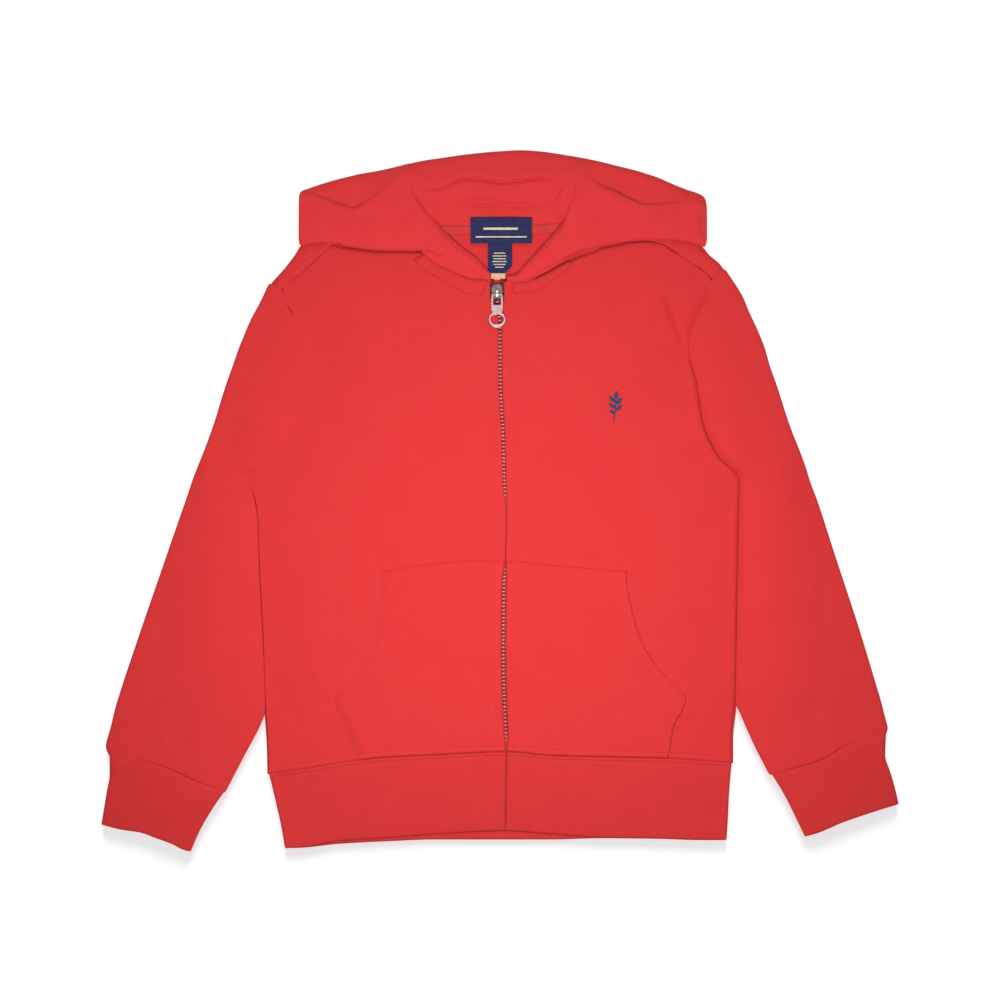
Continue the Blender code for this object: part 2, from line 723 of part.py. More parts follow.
def flat_tube(name, place, wall, hollow, puff, colour):
    """A tube of cloth lying flat: folded along both edges, open at its ends.

    place gives the points of every section at shares of the way from its outer edge to its inner edge.
    """
    height = 2 * wall + hollow
    edges = place(np.array([0.0, 1.0]))
    width = np.linalg.norm(edges[:, 1] - edges[:, 0], axis=1)[:, None]
    near = np.array([0, 0.3, 1.0]) * height / 2
    middle = np.linspace(0, 1, 5)[1:-1]
    columns = np.concatenate([near / width, middle + 0 * width, 1 - near[::-1] / width], axis=1)
    columns = np.sort(columns, axis=1)
    from_edge = np.minimum(columns, 1 - columns) * width / (height / 2)
    roundness = np.sqrt(1 - (1 - np.minimum(from_edge, 1)) ** 2)
    rise = puff * np.sin(np.pi * columns) ** 0.7 * ease(width / 60)

    def ring_points(inset):
        points = place(inset / width + columns * (1 - 2 * inset / width))
        half = (height / 2 - inset) * roundness
        top = np.concatenate([points, (height / 2 + half + rise)[..., None]], axis=-1)
        low = np.concatenate([points, (height / 2 - half)[..., None]], axis=-1)
        return np.concatenate([top, low[:, -2:0:-1]], axis=1)

    return tube(name, ring_points(0.0), ring_points(wall), colour)


def make_sleeve(name, form, seam):
    """A sleeve through its sections; the last ones bend to follow the seam of the cuff."""
    outer = np.column_stack([form["outer_x"], form["outer_y"]])[:, None]
    inner = np.column_stack([form["inner_x"], form["inner_y"]])[:, None]
    seam = np.asarray(seam, float)

    def place(across):
        across = np.broadcast_to(across, (len(outer), np.shape(across)[-1]))
        share = across[..., None]
        curve = along(seam, across.ravel()).reshape(across.shape + (2,))
        chord = seam[0] * (1 - share) + seam[-1] * share
        return outer * (1 - share) + inner * share + (curve - chord) * form["bend"][:, None, None]

    flat_tube(name, place, FLEECE, SLEEVE_HOLLOW, SLEEVE_PUFF, RED)


def make_cuff(name, form):
    rows = np.linspace(0, 1, 4)

    def place(across):
        across = np.broadcast_to(across, (len(rows), np.shape(across)[-1]))
        sections = [patch(form["seam"], form["wrist"], form["outer"], form["inner"], [row], shares)[0]
                    for row, shares in zip(rows, across)]
        return np.array(sections)

    flat_tube(name, place, RIB, CUFF_HOLLOW, CUFF_PUFF, RED_RIB)


def make_waistband():
    """One strip of rib that runs from the zip round one side, across the back and round to the zip again."""
    down = np.linspace(0, 1, 4)
    front_share = np.linspace(0, 1, 8)
    turn = np.linspace(0, math.pi, 6)[1:-1]
    back_share = np.linspace(0, 1, 12)
    left = smooth(BAND_SIDES["down"], BAND_SIDES["left"], down)
    right = smooth(BAND_SIDES["down"], BAND_SIDES["right"], down)
    fold_height = 2 * RIB + SEAM_GAP

    def strip(inset):
        rows = []
        for step, share in enumerate(down):
            middle = WAIST_LEVEL - share * 60
            start, stop = zip_line(middle) - zip_apart(middle), zip_line(middle) + zip_apart(middle)
            edges = (left[step] + fold_height / 2, right[step] - fold_height / 2)
            places = []
            for x in start + (edges[0] - start) * front_share:
                places.append((x, RIB + SEAM_GAP + lift(x, WAIST_LEVEL) + RIB - inset, "front_hem"))
            for angle in turn:
                reach = fold_height / 2 - inset
                places.append((edges[0] - math.sin(angle) * reach, fold_height / 2 + math.cos(angle) * reach,
                               "front_hem" if angle < math.pi / 2 else "back_hem"))
            for x in edges[0] + (edges[1] - edges[0]) * back_share:
                places.append((x, inset, "back_hem"))
            for angle in turn[::-1]:
                reach = fold_height / 2 - inset
                places.append((edges[1] + math.sin(angle) * reach, fold_height / 2 + math.cos(angle) * reach,
                               "front_hem" if angle < math.pi / 2 else "back_hem"))
            for x in (stop + (edges[1] - stop) * front_share)[::-1]:
                places.append((x, RIB + SEAM_GAP + lift(x, WAIST_LEVEL) + RIB - inset, "front_hem"))
            row = []
            for x, z, hem in places:
                seam = "back_seam" if hem == "back_hem" else "seam"
                top = float(smooth(WAIST["x"], WAIST[seam], x)) - SEAM_GAP
                low = float(smooth(WAIST["x"], WAIST[hem], x))
                row.append((x, top + (low - top) * share, z))
            rows.append(row)
        return np.array(rows)

    sheet("waistband", strip(RIB), strip(0.0), RED_RIB)


def make_pocket(name, side):
    """A patch on the front panel, made from that panel's surface moved out."""
    form = POCKET_LEFT if side < 0 else POCKET_RIGHT
    y = spread(form["y"], 24)
    inner = zip_line(y) + side * (zip_apart(y) + 0.6)
    x, y = grid(y, smooth(form["y"], form["outer"], y), inner, [0, 0.08, 0.35, 0.65, 1])
    floor = front_top(x, y) + SEAM_GAP
    top_drop = (smooth(POCKET_TOP["x"], POCKET_TOP["top"], x) - POCKET_LEVEL) * ease(
        (y - POCKET_LEVEL + POCKET_FADE) / POCKET_FADE
    )
    waist = smooth(WAIST["x"], WAIST["seam"], x) + 2 * BUTT_GAP - form["y"][-1]
    low_drop = waist * (1 - ease((y - form["y"][-1]) / POCKET_FADE))
    under = np.stack([x, y + top_drop + low_drop, floor], axis=-1)
    sheet(name, under, under + (0, 0, FLEECE), RED)


def hood_section(row):
    """The closed outline of one section through a side panel, in y and z, from the neck seam upwards."""
    face, ridge, top = row["face"], row["ridge"], row["top"]
    lip, base, foot, crest = row["lip"], row["base"], row["foot"], row["lapel"]
    deep, room = ridge - face, top - ridge
    edge = min(LAPEL_FLOOR + HOOD_HEM, crest) - 0.2

    def between(hidden, shown):
        return hidden + (shown - hidden) * lip

    neck_low = (between(face + 7, row["neck"] + SEAM_GAP), between(LAPEL_FLOOR, LIP_FLOOR))
    neck_high = (between(face + 5, row["neck"] + SEAM_GAP), between(LAPEL_FLOOR + 0.25, LIP_FLOOR + 2))
    lapel = [
        (face + min(2.5, 0.2 * deep), LAPEL_FLOOR + 0.5),
        (face, LAPEL_FLOOR + 1.0),
        (face - 0.5, LAPEL_FLOOR + HOOD_HEM / 2),
        (face + min(1.0, 0.16 * deep), edge),
        (face + 0.5 * deep, 0.4 * edge + 0.6 * crest),
        (ridge - min(2.5, 0.2 * deep), crest),
    ]
    roll = [
        (ridge, 0.6 * crest + 0.4 * row["hollow"]),
        (ridge + 0.25 * room, row["hollow"]),
        (ridge + 0.5 * room, (row["hollow"] + row["band"]) / 2),
        (top - min(5, 0.3 * room), row["band"]),
        (top, (row["band"] + foot) / 2),
        (top - min(3, 0.25 * room), foot),
    ]
    step = [(base, foot), (base, max(between(LAPEL_FLOOR, LIP_FLOOR), foot + 0.4))]
    return [neck_low, neck_high] + lapel + roll + step


def make_hood_side(name, form):
    sections = []
    for place in range(len(form["x"])):
        row = {column: float(values[place]) for column, values in form.items()}
        sections.append([(row["x"], y, z) for y, z in hood_section(row)])
    loft(name, np.array(sections), RED)


def make_hood_centre():
    """The middle panel: flat up from the back neck, rolled over at the outline, and back to its front edge."""
    sections = []
    for share in np.linspace(0, 1, 12):
        x_top = HOOD_CENTRE_SIDES["left"][-1] * (1 - share) + HOOD_CENTRE_SIDES["right"][-1] * share
        outline = float(smooth(HOOD_CROWN["x"], HOOD_CROWN["outline"], x_top))
        face = float(smooth(HOOD_CROWN["x"], HOOD_CROWN["face"], x_top))
        roll = [(outline - back, z) for back, z in zip(CROWN_ROLL["back"], CROWN_ROLL["z"])]
        edge = [(face + 2, CROWN_TOP - 0.6), (face, CROWN_TOP - 2), (face + 1, CROWN_UNDER + 0.2)]
        lining = [(outline - back, z) for back, z in zip(CROWN_LINING["back"], CROWN_LINING["z"])]
        inside = [(y, FLEECE + rise) for y, rise in zip(CREASE["y"], CREASE["rise"])]
        section = []
        for y, z in [(NECK_SEAM, 0), (CREASE["y"][1], 0)] + roll + edge + lining + inside:
            left = float(smooth(HOOD_CENTRE_SIDES["y"], HOOD_CENTRE_SIDES["left"], y))
            right = float(smooth(HOOD_CENTRE_SIDES["y"], HOOD_CENTRE_SIDES["right"], y))
            section.append((left * (1 - share) + right * share, y, z))
        sections.append(section)
    loft("hood_centre", np.array(sections), RED)


def make_neck_band(name, form):
    """A narrow strip on the front panel, made from that panel's surface moved out."""
    across = np.linspace(0, 1, 3)[None, :, None]
    seam, hem = (along(form[edge], np.linspace(0, 1, 10))[:, None] for edge in ("seam", "hem"))
    place = seam * (1 - across) + hem * across
    floor = front_top(place[..., 0], place[..., 1]) + SEAM_GAP
    under = np.concatenate([place, floor[..., None]], axis=-1)
    sheet(name, under, under + (0, 0, BAND_THICK), RED)


def make_zip_side(name, side):
    """A zip tape under the front's edge, with its row of teeth along the zip's line."""
    y = spread(np.concatenate([ZIP["y"], [TEETH_TOP, TEETH_TOP - SEAM_STEP, WAIST_STEP]]), 60)
    line = zip_line(y)
    floor = front_floor(line, y) + (RIB - FLEECE) * ease((WAIST_STEP - y) / 6)
    closed = ease((TEETH_TOP - y) / SEAM_STEP)
    inner = line + side * (OPEN_SIDE + (TEETH_SIDE - OPEN_SIDE) * closed)
    bead = line + side * (OPEN_SIDE + (TEETH_REACH - OPEN_SIDE) * closed)
    outer = line + side * TAPE_REACH
    top = floor - TAPE_SINK
    low = top - TAPE_THICK
    teeth_top = top + TEETH_RISE * closed
    teeth_low = low - TEETH_DROP * closed
    profile = [
        (outer, top),
        (bead + side * CORD_WIDTH, top),
        (bead, teeth_top),
        (inner, teeth_top),
        (inner, teeth_low),
        (bead, teeth_low),
        (bead + side * CORD_WIDTH, low),
        (outer, low),
    ]
    sections = np.stack([np.column_stack([x, y, z]) for x, z in profile], axis=1)
    loft(name, sections, RED)


def tape_level():
    """Top and underside of the zip tapes at the slider."""
    top = float(front_floor(np.float64(SLIDER_X), np.float64(SLIDER_Y))) - TAPE_SINK
    return top, top - TAPE_THICK


def plate_level():
    """Underside of the slider's front plate."""
    return tape_level()[0] + SLIDER_MOUTH


def pin_place():
    """The middle of the pull's pin, which is the axis it swings about."""
    top = plate_level() + PLATE_THICK
    return SLIDER_X, SLIDER_Y - PIN_BACK, top + PIN_RADIUS + PIN_CLEARANCE + PIN_LIFT


def make_slider():
    low = tape_level()[1] - SLIDER_CLEARANCE
    high = plate_level()
    outline, core = (
        np.column_stack([SLIDER_X + form["across"], SLIDER_Y + form["along"]]) for form in (SLIDER_FORM, SLIDER_CORE)
    )
    slider = plate("zip_slider", outline, high, high + PLATE_THICK, NICKEL, roughness=0.35, metallic=1.0)
    join(slider, plate("slider_back", outline, low - BACK_PLATE_THICK, low, NICKEL))
    join(slider, plate("slider_core", core, low - OVERLAP, high + OVERLAP, NICKEL))
    pin_x, pin_y, pin_z = pin_place()
    inner = PIN_RADIUS + PIN_CLEARANCE
    outer = inner + BAIL_WALL
    bend = np.linspace(0, math.pi, 7)

    def arch(radius):
        curve = [(pin_y + radius * math.cos(angle), pin_z + radius * math.sin(angle)) for angle in bend]
        return [(pin_y + radius, high + OVERLAP)] + curve + [(pin_y - radius, high + OVERLAP)]

    profile = arch(outer) + arch(inner)[::-1]
    sides = (pin_x - BAIL_WIDTH / 2, pin_x + BAIL_WIDTH / 2)
    join(slider, loft("slider_bail", np.array([[(x, y, z) for y, z in profile] for x in sides]), NICKEL))


def make_pull():
    """The pull: a pin that swings in the slider's bail, a plate with a window, and a ring."""
    pin_x, pin_y, pin_z = pin_place()
    half = PULL_WIDTH / 2
    ring_y = pin_y - RING_DOWN
    start = math.acos(0.8 * half / RING_RADIUS)
    turns = np.linspace(start, -math.pi - start, ROUND_STEPS + 1)
    outline = [(RING_RADIUS * math.cos(turn), RING_RADIUS * math.sin(turn) - RING_DOWN) for turn in turns]
    outline += [(-half, RING_NECK - PULL_REACH), (-half, -PULL_CORNER), (PULL_CORNER - half, PIN_RADIUS),
                (half - PULL_CORNER, PIN_RADIUS), (half, -PULL_CORNER), (half, RING_NECK - PULL_REACH)]
    outline = np.array(outline[::-1]) + (pin_x, pin_y)
    low, high = pin_z - PULL_THICK / 2, pin_z + PULL_THICK / 2
    pull = plate("pull_tab", outline, low, high, NICKEL, roughness=0.4, metallic=1.0, at=pin_place())
    window = [(-WINDOW_WIDTH / 2, -PIN_RADIUS), (-WINDOW_WIDTH / 2, -WINDOW_REACH),
              (WINDOW_WIDTH / 2, -WINDOW_REACH), (WINDOW_WIDTH / 2, -PIN_RADIUS)]
    cut(pull, plate("window_cutter", np.array(window) + (pin_x, pin_y), low - 1, high + 1, NICKEL))
    around = np.linspace(0, 2 * math.pi, ROUND_STEPS, endpoint=False)
    hole = [(pin_x + RING_HOLE[0] * math.cos(turn), ring_y + RING_HOLE[1] * math.sin(turn)) for turn in around]
    cut(pull, plate("ring_cutter", hole, low - 1, high + 1, NICKEL))


def make_labels():
    tape_low = FLEECE + SEAM_GAP
    label_low = tape_low + NECK_TAPE_THICK + SEAM_GAP
    plate("neck_tape", NECK_TAPE, tape_low, tape_low + NECK_TAPE_THICK, RED)
    plate("label_main", LABEL_MAIN, label_low, label_low + LABEL_THICK, NAVY)
    tab_low = FLEECE + TAB_GAP
    care_low = tab_low + TAB_THICK + TAB_GAP
    plate("label_tab", LABEL_TAB, tab_low, tab_low + TAB_THICK, TAN)
    plate("label_care", LABEL_CARE, care_low, care_low + CARE_THICK, NAVY)


def clear_scene():
    for old in list(bpy.context.scene.objects):
        bpy.data.objects.remove(old, do_unlink=True)


def build():
    clear_scene()
    make_back()
    for name, side, sleeve, cuff, band in (
        ("left", -1, SLEEVE_LEFT, CUFF_LEFT, NECK_BAND_LEFT),
        ("right", 1, SLEEVE_RIGHT, CUFF_RIGHT, NECK_BAND_RIGHT),
    ):
        make_front("front_" + name, side)
        make_sleeve("sleeve_" + name, sleeve, cuff["seam"])
        make_cuff("cuff_" + name, cuff)
        make_pocket("pocket_" + name, side)
        make_neck_band("neck_band_" + name, band)
        make_zip_side("zip_" + name, side)
    make_waistband()
    make_hood_side("hood_left", HOOD_LEFT)
    make_hood_side("hood_right", HOOD_RIGHT)
    make_hood_centre()
    make_labels()
    make_slider()
    make_pull()
    print("pin of the pull, in mm:", [round(float(value), 3) for value in pin_place()])


build()
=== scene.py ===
# %% [markdown]
# # A child's zip-through hoodie, laid flat on a table
# The garment lies on its back with the front up and its hood turned out over the shoulders. It is made of
# brushed fleece, with rib at the wrists and the waist. Everything is modelled in place, in the frame of the
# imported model: +X is to the right, +Y towards the hood, +Z up, and the table is at z = 0. Blender works in
# metres. The sizes here are in millimetres, as on a maker's pattern, and one helper turns them into metres.

import math

import bpy
import numpy as np
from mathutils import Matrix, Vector
from mathutils.bvhtree import BVHTree


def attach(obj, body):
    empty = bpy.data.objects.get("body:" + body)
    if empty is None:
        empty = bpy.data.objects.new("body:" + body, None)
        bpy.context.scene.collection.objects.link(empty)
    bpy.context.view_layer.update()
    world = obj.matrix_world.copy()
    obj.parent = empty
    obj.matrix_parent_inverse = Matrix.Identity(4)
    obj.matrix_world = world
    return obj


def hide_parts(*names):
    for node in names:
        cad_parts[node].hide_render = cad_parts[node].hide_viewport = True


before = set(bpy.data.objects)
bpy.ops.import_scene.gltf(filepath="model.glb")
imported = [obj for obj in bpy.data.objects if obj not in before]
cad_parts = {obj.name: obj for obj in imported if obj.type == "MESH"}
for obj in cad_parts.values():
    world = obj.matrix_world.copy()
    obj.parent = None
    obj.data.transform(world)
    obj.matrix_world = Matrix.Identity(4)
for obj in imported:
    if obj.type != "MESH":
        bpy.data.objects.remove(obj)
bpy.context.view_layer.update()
MM = 0.001
print("CAD nodes:", len(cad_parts))

# %% [markdown]
# ## Tables and curves
# A sewing pattern is a set of outlines. Each could be drawn as a Bezier curve by hand, but a short table of
# measured places is easier to correct. `smooth` turns a table into a curve that passes through every row and
# never swings past it, so that no edge wobbles. `look_up` reads a column at places in the first column.

# %% Tables and curves


def table(columns, *rows):
    """A short table, as one list of values for each named column."""
    names = columns.split()
    return {name: np.array([row[place] for row in rows], float) for place, name in enumerate(names)}


def smooth(keys, values, at):
    """Values read from a curve that passes through each row and never swings past it."""
    keys, values = np.asarray(keys, float), np.asarray(values, float)
    order = np.argsort(keys)
    keys, values = keys[order], values[order]
    steps = np.diff(keys)
    slopes = np.diff(values) / steps
    bends = np.concatenate([slopes[:1], np.zeros(len(keys) - 2), slopes[-1:]])
    product = slopes[:-1] * slopes[1:]
    total = slopes[:-1] + slopes[1:]
    same_way = product > 0
    bends[1:-1][same_way] = 2 * product[same_way] / total[same_way]
    at = np.clip(np.asarray(at, float), keys[0], keys[-1])
    span = np.clip(np.searchsorted(keys, at, side="right") - 1, 0, len(steps) - 1)
    share = (at - keys[span]) / steps[span]
    return (
        values[span] * (1 + 2 * share) * (1 - share) ** 2
        + values[span + 1] * share**2 * (3 - 2 * share)
        + bends[span] * steps[span] * share * (1 - share) ** 2
        - bends[span + 1] * steps[span] * share**2 * (1 - share)
    )


def look_up(form, column, at):
    """A table's column, read smoothly at places in the table's first column."""
    return smooth(next(iter(form.values())), form[column], at)


def reached(points):
    """Distance along a line of points, at each of them."""
    steps = np.linalg.norm(np.diff(np.asarray(points, float), axis=0), axis=1)
    return np.concatenate([[0.0], np.cumsum(steps)])


def along(points, shares):
    """Points at shares of the length of the smooth line through the given points."""
    points = np.asarray(points, float)
    length = reached(points)
    at = np.asarray(shares, float) * length[-1]
    return np.stack([smooth(length, points[:, axis], at) for axis in range(points.shape[1])], axis=-1)


def ease(share):
    """A soft rise from 0 to 1."""
    share = np.clip(share, 0, 1)
    return share * share * (3 - 2 * share)


def stacked(*axes):
    """Coordinates along each axis, as one array of points. One value may stand for a whole row or grid."""
    return np.stack(np.broadcast_arrays(*axes), axis=-1)


def patch(start, end, outer, inner, rows, columns):
    """A four-sided panel's points. Start and end run from outer to inner, the others from start to end."""
    across = np.asarray(columns)[None, :, None]
    down = np.asarray(rows)[:, None, None]
    first, last = along(start, columns)[None], along(end, columns)[None]
    left, right = along(outer, rows)[:, None], along(inner, rows)[:, None]
    corners = (
        (1 - down) * ((1 - across) * first[:, :1] + across * first[:, -1:])
        + down * ((1 - across) * last[:, :1] + across * last[:, -1:])
    )
    return (1 - down) * first + down * last + (1 - across) * left + across * right - corners


# %% [markdown]
# ## Folds
# Cloth at rest keeps soft marks of how it was handled. Noise would scatter them evenly, which looks like
# crumpled foil, so each fold is placed one by one as a line with its own height and width, fading at its
# ends.
# A fold is a soft ridge, or a trough where its height is negative, and it is written as one row: its height,
# its half width, the share of its length that fades at each end, and the points of its line.

# %% Folds


def off_line(x, y, points):
    """How far places are to the left of a line, less than 0 on its right, and their share of its length."""
    points = np.asarray(points, float)
    length = reached(points)
    best = np.full(np.shape(x), 1e9)
    side = np.ones(np.shape(x))
    share = np.zeros(np.shape(x))
    for place in range(len(points) - 1):
        start, step = points[place], points[place + 1] - points[place]
        size = length[place + 1] - length[place]
        dx, dy = x - start[0], y - start[1]
        part = np.clip((dx * step[0] + dy * step[1]) / size**2, 0, 1)
        away = np.hypot(dx - part * step[0], dy - part * step[1])
        near = away < best
        best = np.where(near, away, best)
        side = np.where(near, np.where(step[0] * dy - step[1] * dx < 0, -1.0, 1.0), side)
        share = np.where(near, (length[place] + part * size) / length[-1], share)
    return best * side, share


def fade(share, ends):
    """Strength along a fold: full in the middle, and soft over a share of its length at both ends."""
    return ease(share / ends) * ease((1 - share) / ends) if ends else 1.0


def hump(away, width):
    """1 on a line, falling softly to 0 on both sides of it."""
    return np.exp(-((away / width) ** 2))


def folds(x, y, rows):
    """Height of all the soft ridges and troughs in the rows, at each place."""
    total = np.zeros(np.shape(x))
    for height, width, ends, points in rows:
        away, share = off_line(x, y, points)
        total = total + height * hump(away, width) * fade(share, ends)
    return total


# %% [markdown]
# ## Camera
# The camera looks straight down from three metres, with a long lens, so that the garment is seen almost
# without perspective, as in a catalogue.

# %% Camera
CAMERA_HEIGHT = 3.0
CLOTH_HEIGHT = 0.008  # about the middle of the garment's height
SEEN_WIDTH = 0.78     # what the view takes in, from side to side, at that height
VIEW_MIDDLE = (0.0, 0.0004)

lens = bpy.data.cameras.new("camera")
lens.sensor_width = 36
lens.lens = lens.sensor_width * (CAMERA_HEIGHT - CLOTH_HEIGHT) / SEEN_WIDTH
lens.clip_start, lens.clip_end = 0.05, 20
camera = bpy.data.objects.new("camera", lens)
camera.location = (*VIEW_MIDDLE, CAMERA_HEIGHT)
bpy.context.scene.collection.objects.link(camera)
bpy.context.scene.camera = camera
print("lens:", round(lens.lens, 1), "mm")

# %% [markdown]
# ## Light
# A soft light above the middle is brightest on the chest and falls off towards the sleeves and the hood, a
# weak sun from beyond the hood gives the folds a side, and a pale world fills them. A third light, low and
# very soft, is for the floor.

# %% Light
scene = bpy.context.scene
scene.view_settings.view_transform = "Standard"

world = bpy.data.worlds.new("studio")
world.use_nodes = True
sky = world.node_tree.nodes["Background"].inputs
sky["Color"].default_value, sky["Strength"].default_value = (1.0, 1.0, 1.0, 1.0), 0.3
scene.world = world

above = bpy.data.lights.new("light_above", "AREA")
above.shape = "RECTANGLE"
above.size, above.size_y = 0.26, 0.34
above.energy = 3.67
light_above = bpy.data.objects.new("light_above", above)
light_above.location = (0.0, -0.04, 0.57)
light_above.visible_camera = False
scene.collection.objects.link(light_above)


def add_sun(name, energy, spread, tilt):
    """A sun beyond the hood, with its spread and its tilt in degrees."""
    sun = bpy.data.lights.new(name, "SUN")
    sun.energy, sun.angle = energy, math.radians(spread)
    placed = bpy.data.objects.new(name, sun)
    placed.rotation_euler = (math.radians(tilt), 0, 0)
    scene.collection.objects.link(placed)
    return placed


light_behind = add_sun("light_behind", 0.45, 16, -50)
light_low = add_sun("light_low", 3.9, 28, -68)
print("lights:", light_above.name, light_behind.name, light_low.name)

# %% [markdown]
# ## Floor
# The floor is a plain white sheet, a little bright by itself, as on a light table. The upper light would
# leave a bright pool on it, so light linking keeps that light and the sun beyond the hood off the floor. The
# low light reaches the floor alone, and leaves a faint shadow along the garment's lower edges.

# %% Floor
FLOOR_REACH = 5.0     # from the middle to each side
FLOOR_LEVEL = -0.0002  # just under the cloth
floor_mesh = bpy.data.meshes.new("floor")
corners = [(x * FLOOR_REACH, y * FLOOR_REACH, FLOOR_LEVEL) for x, y in ((-1, -1), (1, -1), (1, 1), (-1, 1))]
floor_mesh.from_pydata(corners, [], [(0, 1, 2, 3)])
floor = bpy.data.objects.new("floor", floor_mesh)
scene.collection.objects.link(floor)
white = bpy.data.materials.new("floor_white")
white.use_nodes = True
white_shader = white.node_tree.nodes["Principled BSDF"]
white_shader.inputs["Base Color"].default_value = (0.6, 0.6, 0.6, 1.0)
white_shader.inputs["Roughness"].default_value = 0.9
white_shader.inputs["Emission Color"].default_value = (1.0, 1.0, 1.0, 1.0)
white_shader.inputs["Emission Strength"].default_value = 0.62
floor_mesh.materials.append(white)


def choose_lit(light, name, state):
    """Let a light reach only the floor, or everything but the floor."""
    chosen = bpy.data.collections.new(name)
    chosen.objects.link(floor)
    chosen.collection_objects[0].light_linking.link_state = state
    light.light_linking.receiver_collection = chosen


choose_lit(light_low, "lit_floor_only", "INCLUDE")
choose_lit(light_above, "not_floor_above", "EXCLUDE")
choose_lit(light_behind, "not_floor_behind", "EXCLUDE")
print("floor:", 2 * FLOOR_REACH, "m wide")

# %% [markdown]
# ## Finishes
# Every finish is a small node tree. The cloth could carry a picture of a knit, but a drawn pattern has no
# edge and no seam: two waves, one for the upright rows of stitches and one for the courses across them, run
# along the `knit` coordinates that each piece carries in millimetres. Fine noise on top gives the brushed
# face, and a broad, faint noise keeps a large panel from looking dyed by a machine.

# %% Finishes
WAVE_STEP = 0.31416   # a band wave of scale 1 repeats over this length
COURSE_SHARE = 0.35   # how deep the courses are beside the wales


def shader_of(made):
    """A finish's main shader."""
    return made.node_tree.nodes["Principled BSDF"]


def own_place(made):
    """The socket that gives each point's place in its piece's own space."""
    return made.node_tree.nodes.new("ShaderNodeTexCoord").outputs["Object"]


def finish(name, colour, roughness, metallic=0.0, sheen=0.0, sheen_tint=(1, 1, 1)):
    """A new finish, with its shader's own values set."""
    made = bpy.data.materials.new(name)
    made.use_nodes = True
    shader = shader_of(made)
    shader.inputs["Base Color"].default_value = (*colour, 1.0)
    shader.inputs["Roughness"].default_value = roughness
    shader.inputs["Metallic"].default_value = metallic
    shader.inputs["Sheen Weight"].default_value = sheen
    shader.inputs["Sheen Roughness"].default_value = 0.55
    shader.inputs["Sheen Tint"].default_value = (*sheen_tint, 1.0)
    return made


def node(made, kind, **values):
    """A node with its input values set by name."""
    added = made.node_tree.nodes.new(kind)
    for name, value in values.items():
        added.inputs[name.replace("_", " ")].default_value = value
    return added


def tie(made, *links):
    """Link pairs of sockets."""
    for start, end in links:
        made.node_tree.links.new(start, end)


def bumped(made, height, strength, depth):
    """Let a height socket bump the finish, with its depth in mm."""
    bump = node(made, "ShaderNodeBump", Strength=strength, Distance=depth * MM)
    tie(made, (height, bump.inputs["Height"]), (bump.outputs["Normal"], shader_of(made).inputs["Normal"]))


def two_tone(made, scale, detail, dark, light):
    """Colour that wanders a little between two shades."""
    noise = node(made, "ShaderNodeTexNoise", Scale=scale, Detail=detail, Roughness=0.6)
    ramp = made.node_tree.nodes.new("ShaderNodeValToRGB")
    ramp.color_ramp.elements[0].position, ramp.color_ramp.elements[1].position = 0.3, 0.7
    ramp.color_ramp.elements[0].color = (*dark, 1.0)
    ramp.color_ramp.elements[1].color = (*light, 1.0)
    tie(made, (own_place(made), noise.inputs["Vector"]), (noise.outputs["Fac"], ramp.inputs["Fac"]),
        (ramp.outputs["Color"], shader_of(made).inputs["Base Color"]))


def knitted(name, dark, light, wale, course, depth, fuzz):
    """A knit: wales and courses of the given pitch in mm, with a bump of the given depth in mm."""
    made = finish(name, light, 0.93, sheen=0.08, sheen_tint=(1.0, 0.55, 0.5))
    shader_of(made).inputs["Specular IOR Level"].default_value = 0.25
    two_tone(made, 60, 5, dark, light)
    knit = made.node_tree.nodes.new("ShaderNodeUVMap")
    knit.uv_map = "knit"
    waves = {"Detail": 2.0, "Detail_Scale": 1.5}
    wales = node(made, "ShaderNodeTexWave", Scale=WAVE_STEP / wale, Distortion=0.6, **waves)
    courses = node(made, "ShaderNodeTexWave", Scale=WAVE_STEP / course, Distortion=0.8, **waves)
    wales.bands_direction, courses.bands_direction = "X", "Y"
    nap = node(made, "ShaderNodeTexNoise", Scale=1600, Detail=4.0, Roughness=0.7)
    mixed = node(made, "ShaderNodeMath")
    mixed.operation = "MULTIPLY_ADD"
    mixed.inputs[1].default_value = COURSE_SHARE
    fuzzy = node(made, "ShaderNodeMath")
    fuzzy.operation = "MULTIPLY_ADD"
    fuzzy.inputs[1].default_value = fuzz
    tie(made, (knit.outputs["UV"], wales.inputs["Vector"]), (knit.outputs["UV"], courses.inputs["Vector"]),
        (own_place(made), nap.inputs["Vector"]),
        (courses.outputs["Fac"], mixed.inputs[0]), (wales.outputs["Fac"], mixed.inputs[2]),
        (nap.outputs["Fac"], fuzzy.inputs[0]), (mixed.outputs[0], fuzzy.inputs[2]))
    bumped(made, fuzzy.outputs[0], 1.0, depth)
    return made


FLEECE_RED = knitted("fleece_red", (0.585, 0.0255, 0.027), (0.61, 0.028, 0.0295), 1.15, 0.85, 0.02, 0.9)
BRUSHED_RED = knitted("fleece_inside_red", (0.625, 0.029, 0.033), (0.655, 0.032, 0.036), 1.4, 1.4, 0.03, 1.8)
RIB_RED = knitted("rib_red", (0.55, 0.024, 0.0255), (0.575, 0.0265, 0.028), 2.1, 0.9, 0.02, 0.8)
print("knits made")

# %% [markdown]
# ## Building a piece of cloth
# A garment part could start as a plane with Solidify and Subdivision modifiers. Here each piece is built
# point by point, because its edge must follow the pattern to a tenth of a millimetre. A panel is two grids
# that close in a round edge, and `spaced` puts their columns close together by the edges, where the
# roundness needs them.

# %% Building a piece of cloth
WALL = 2.2            # fleece
RIB_WALL = 2.8        # rib, folded double
GAP = 0.3             # between two layers that lie on each other
EDGE_STEPS = (0.0, 0.25, 0.8, 1.7, 3.0)
EDGE_SHARE = 0.1      # of the thickness, left at the very edge of a rounded panel
pieces = {}


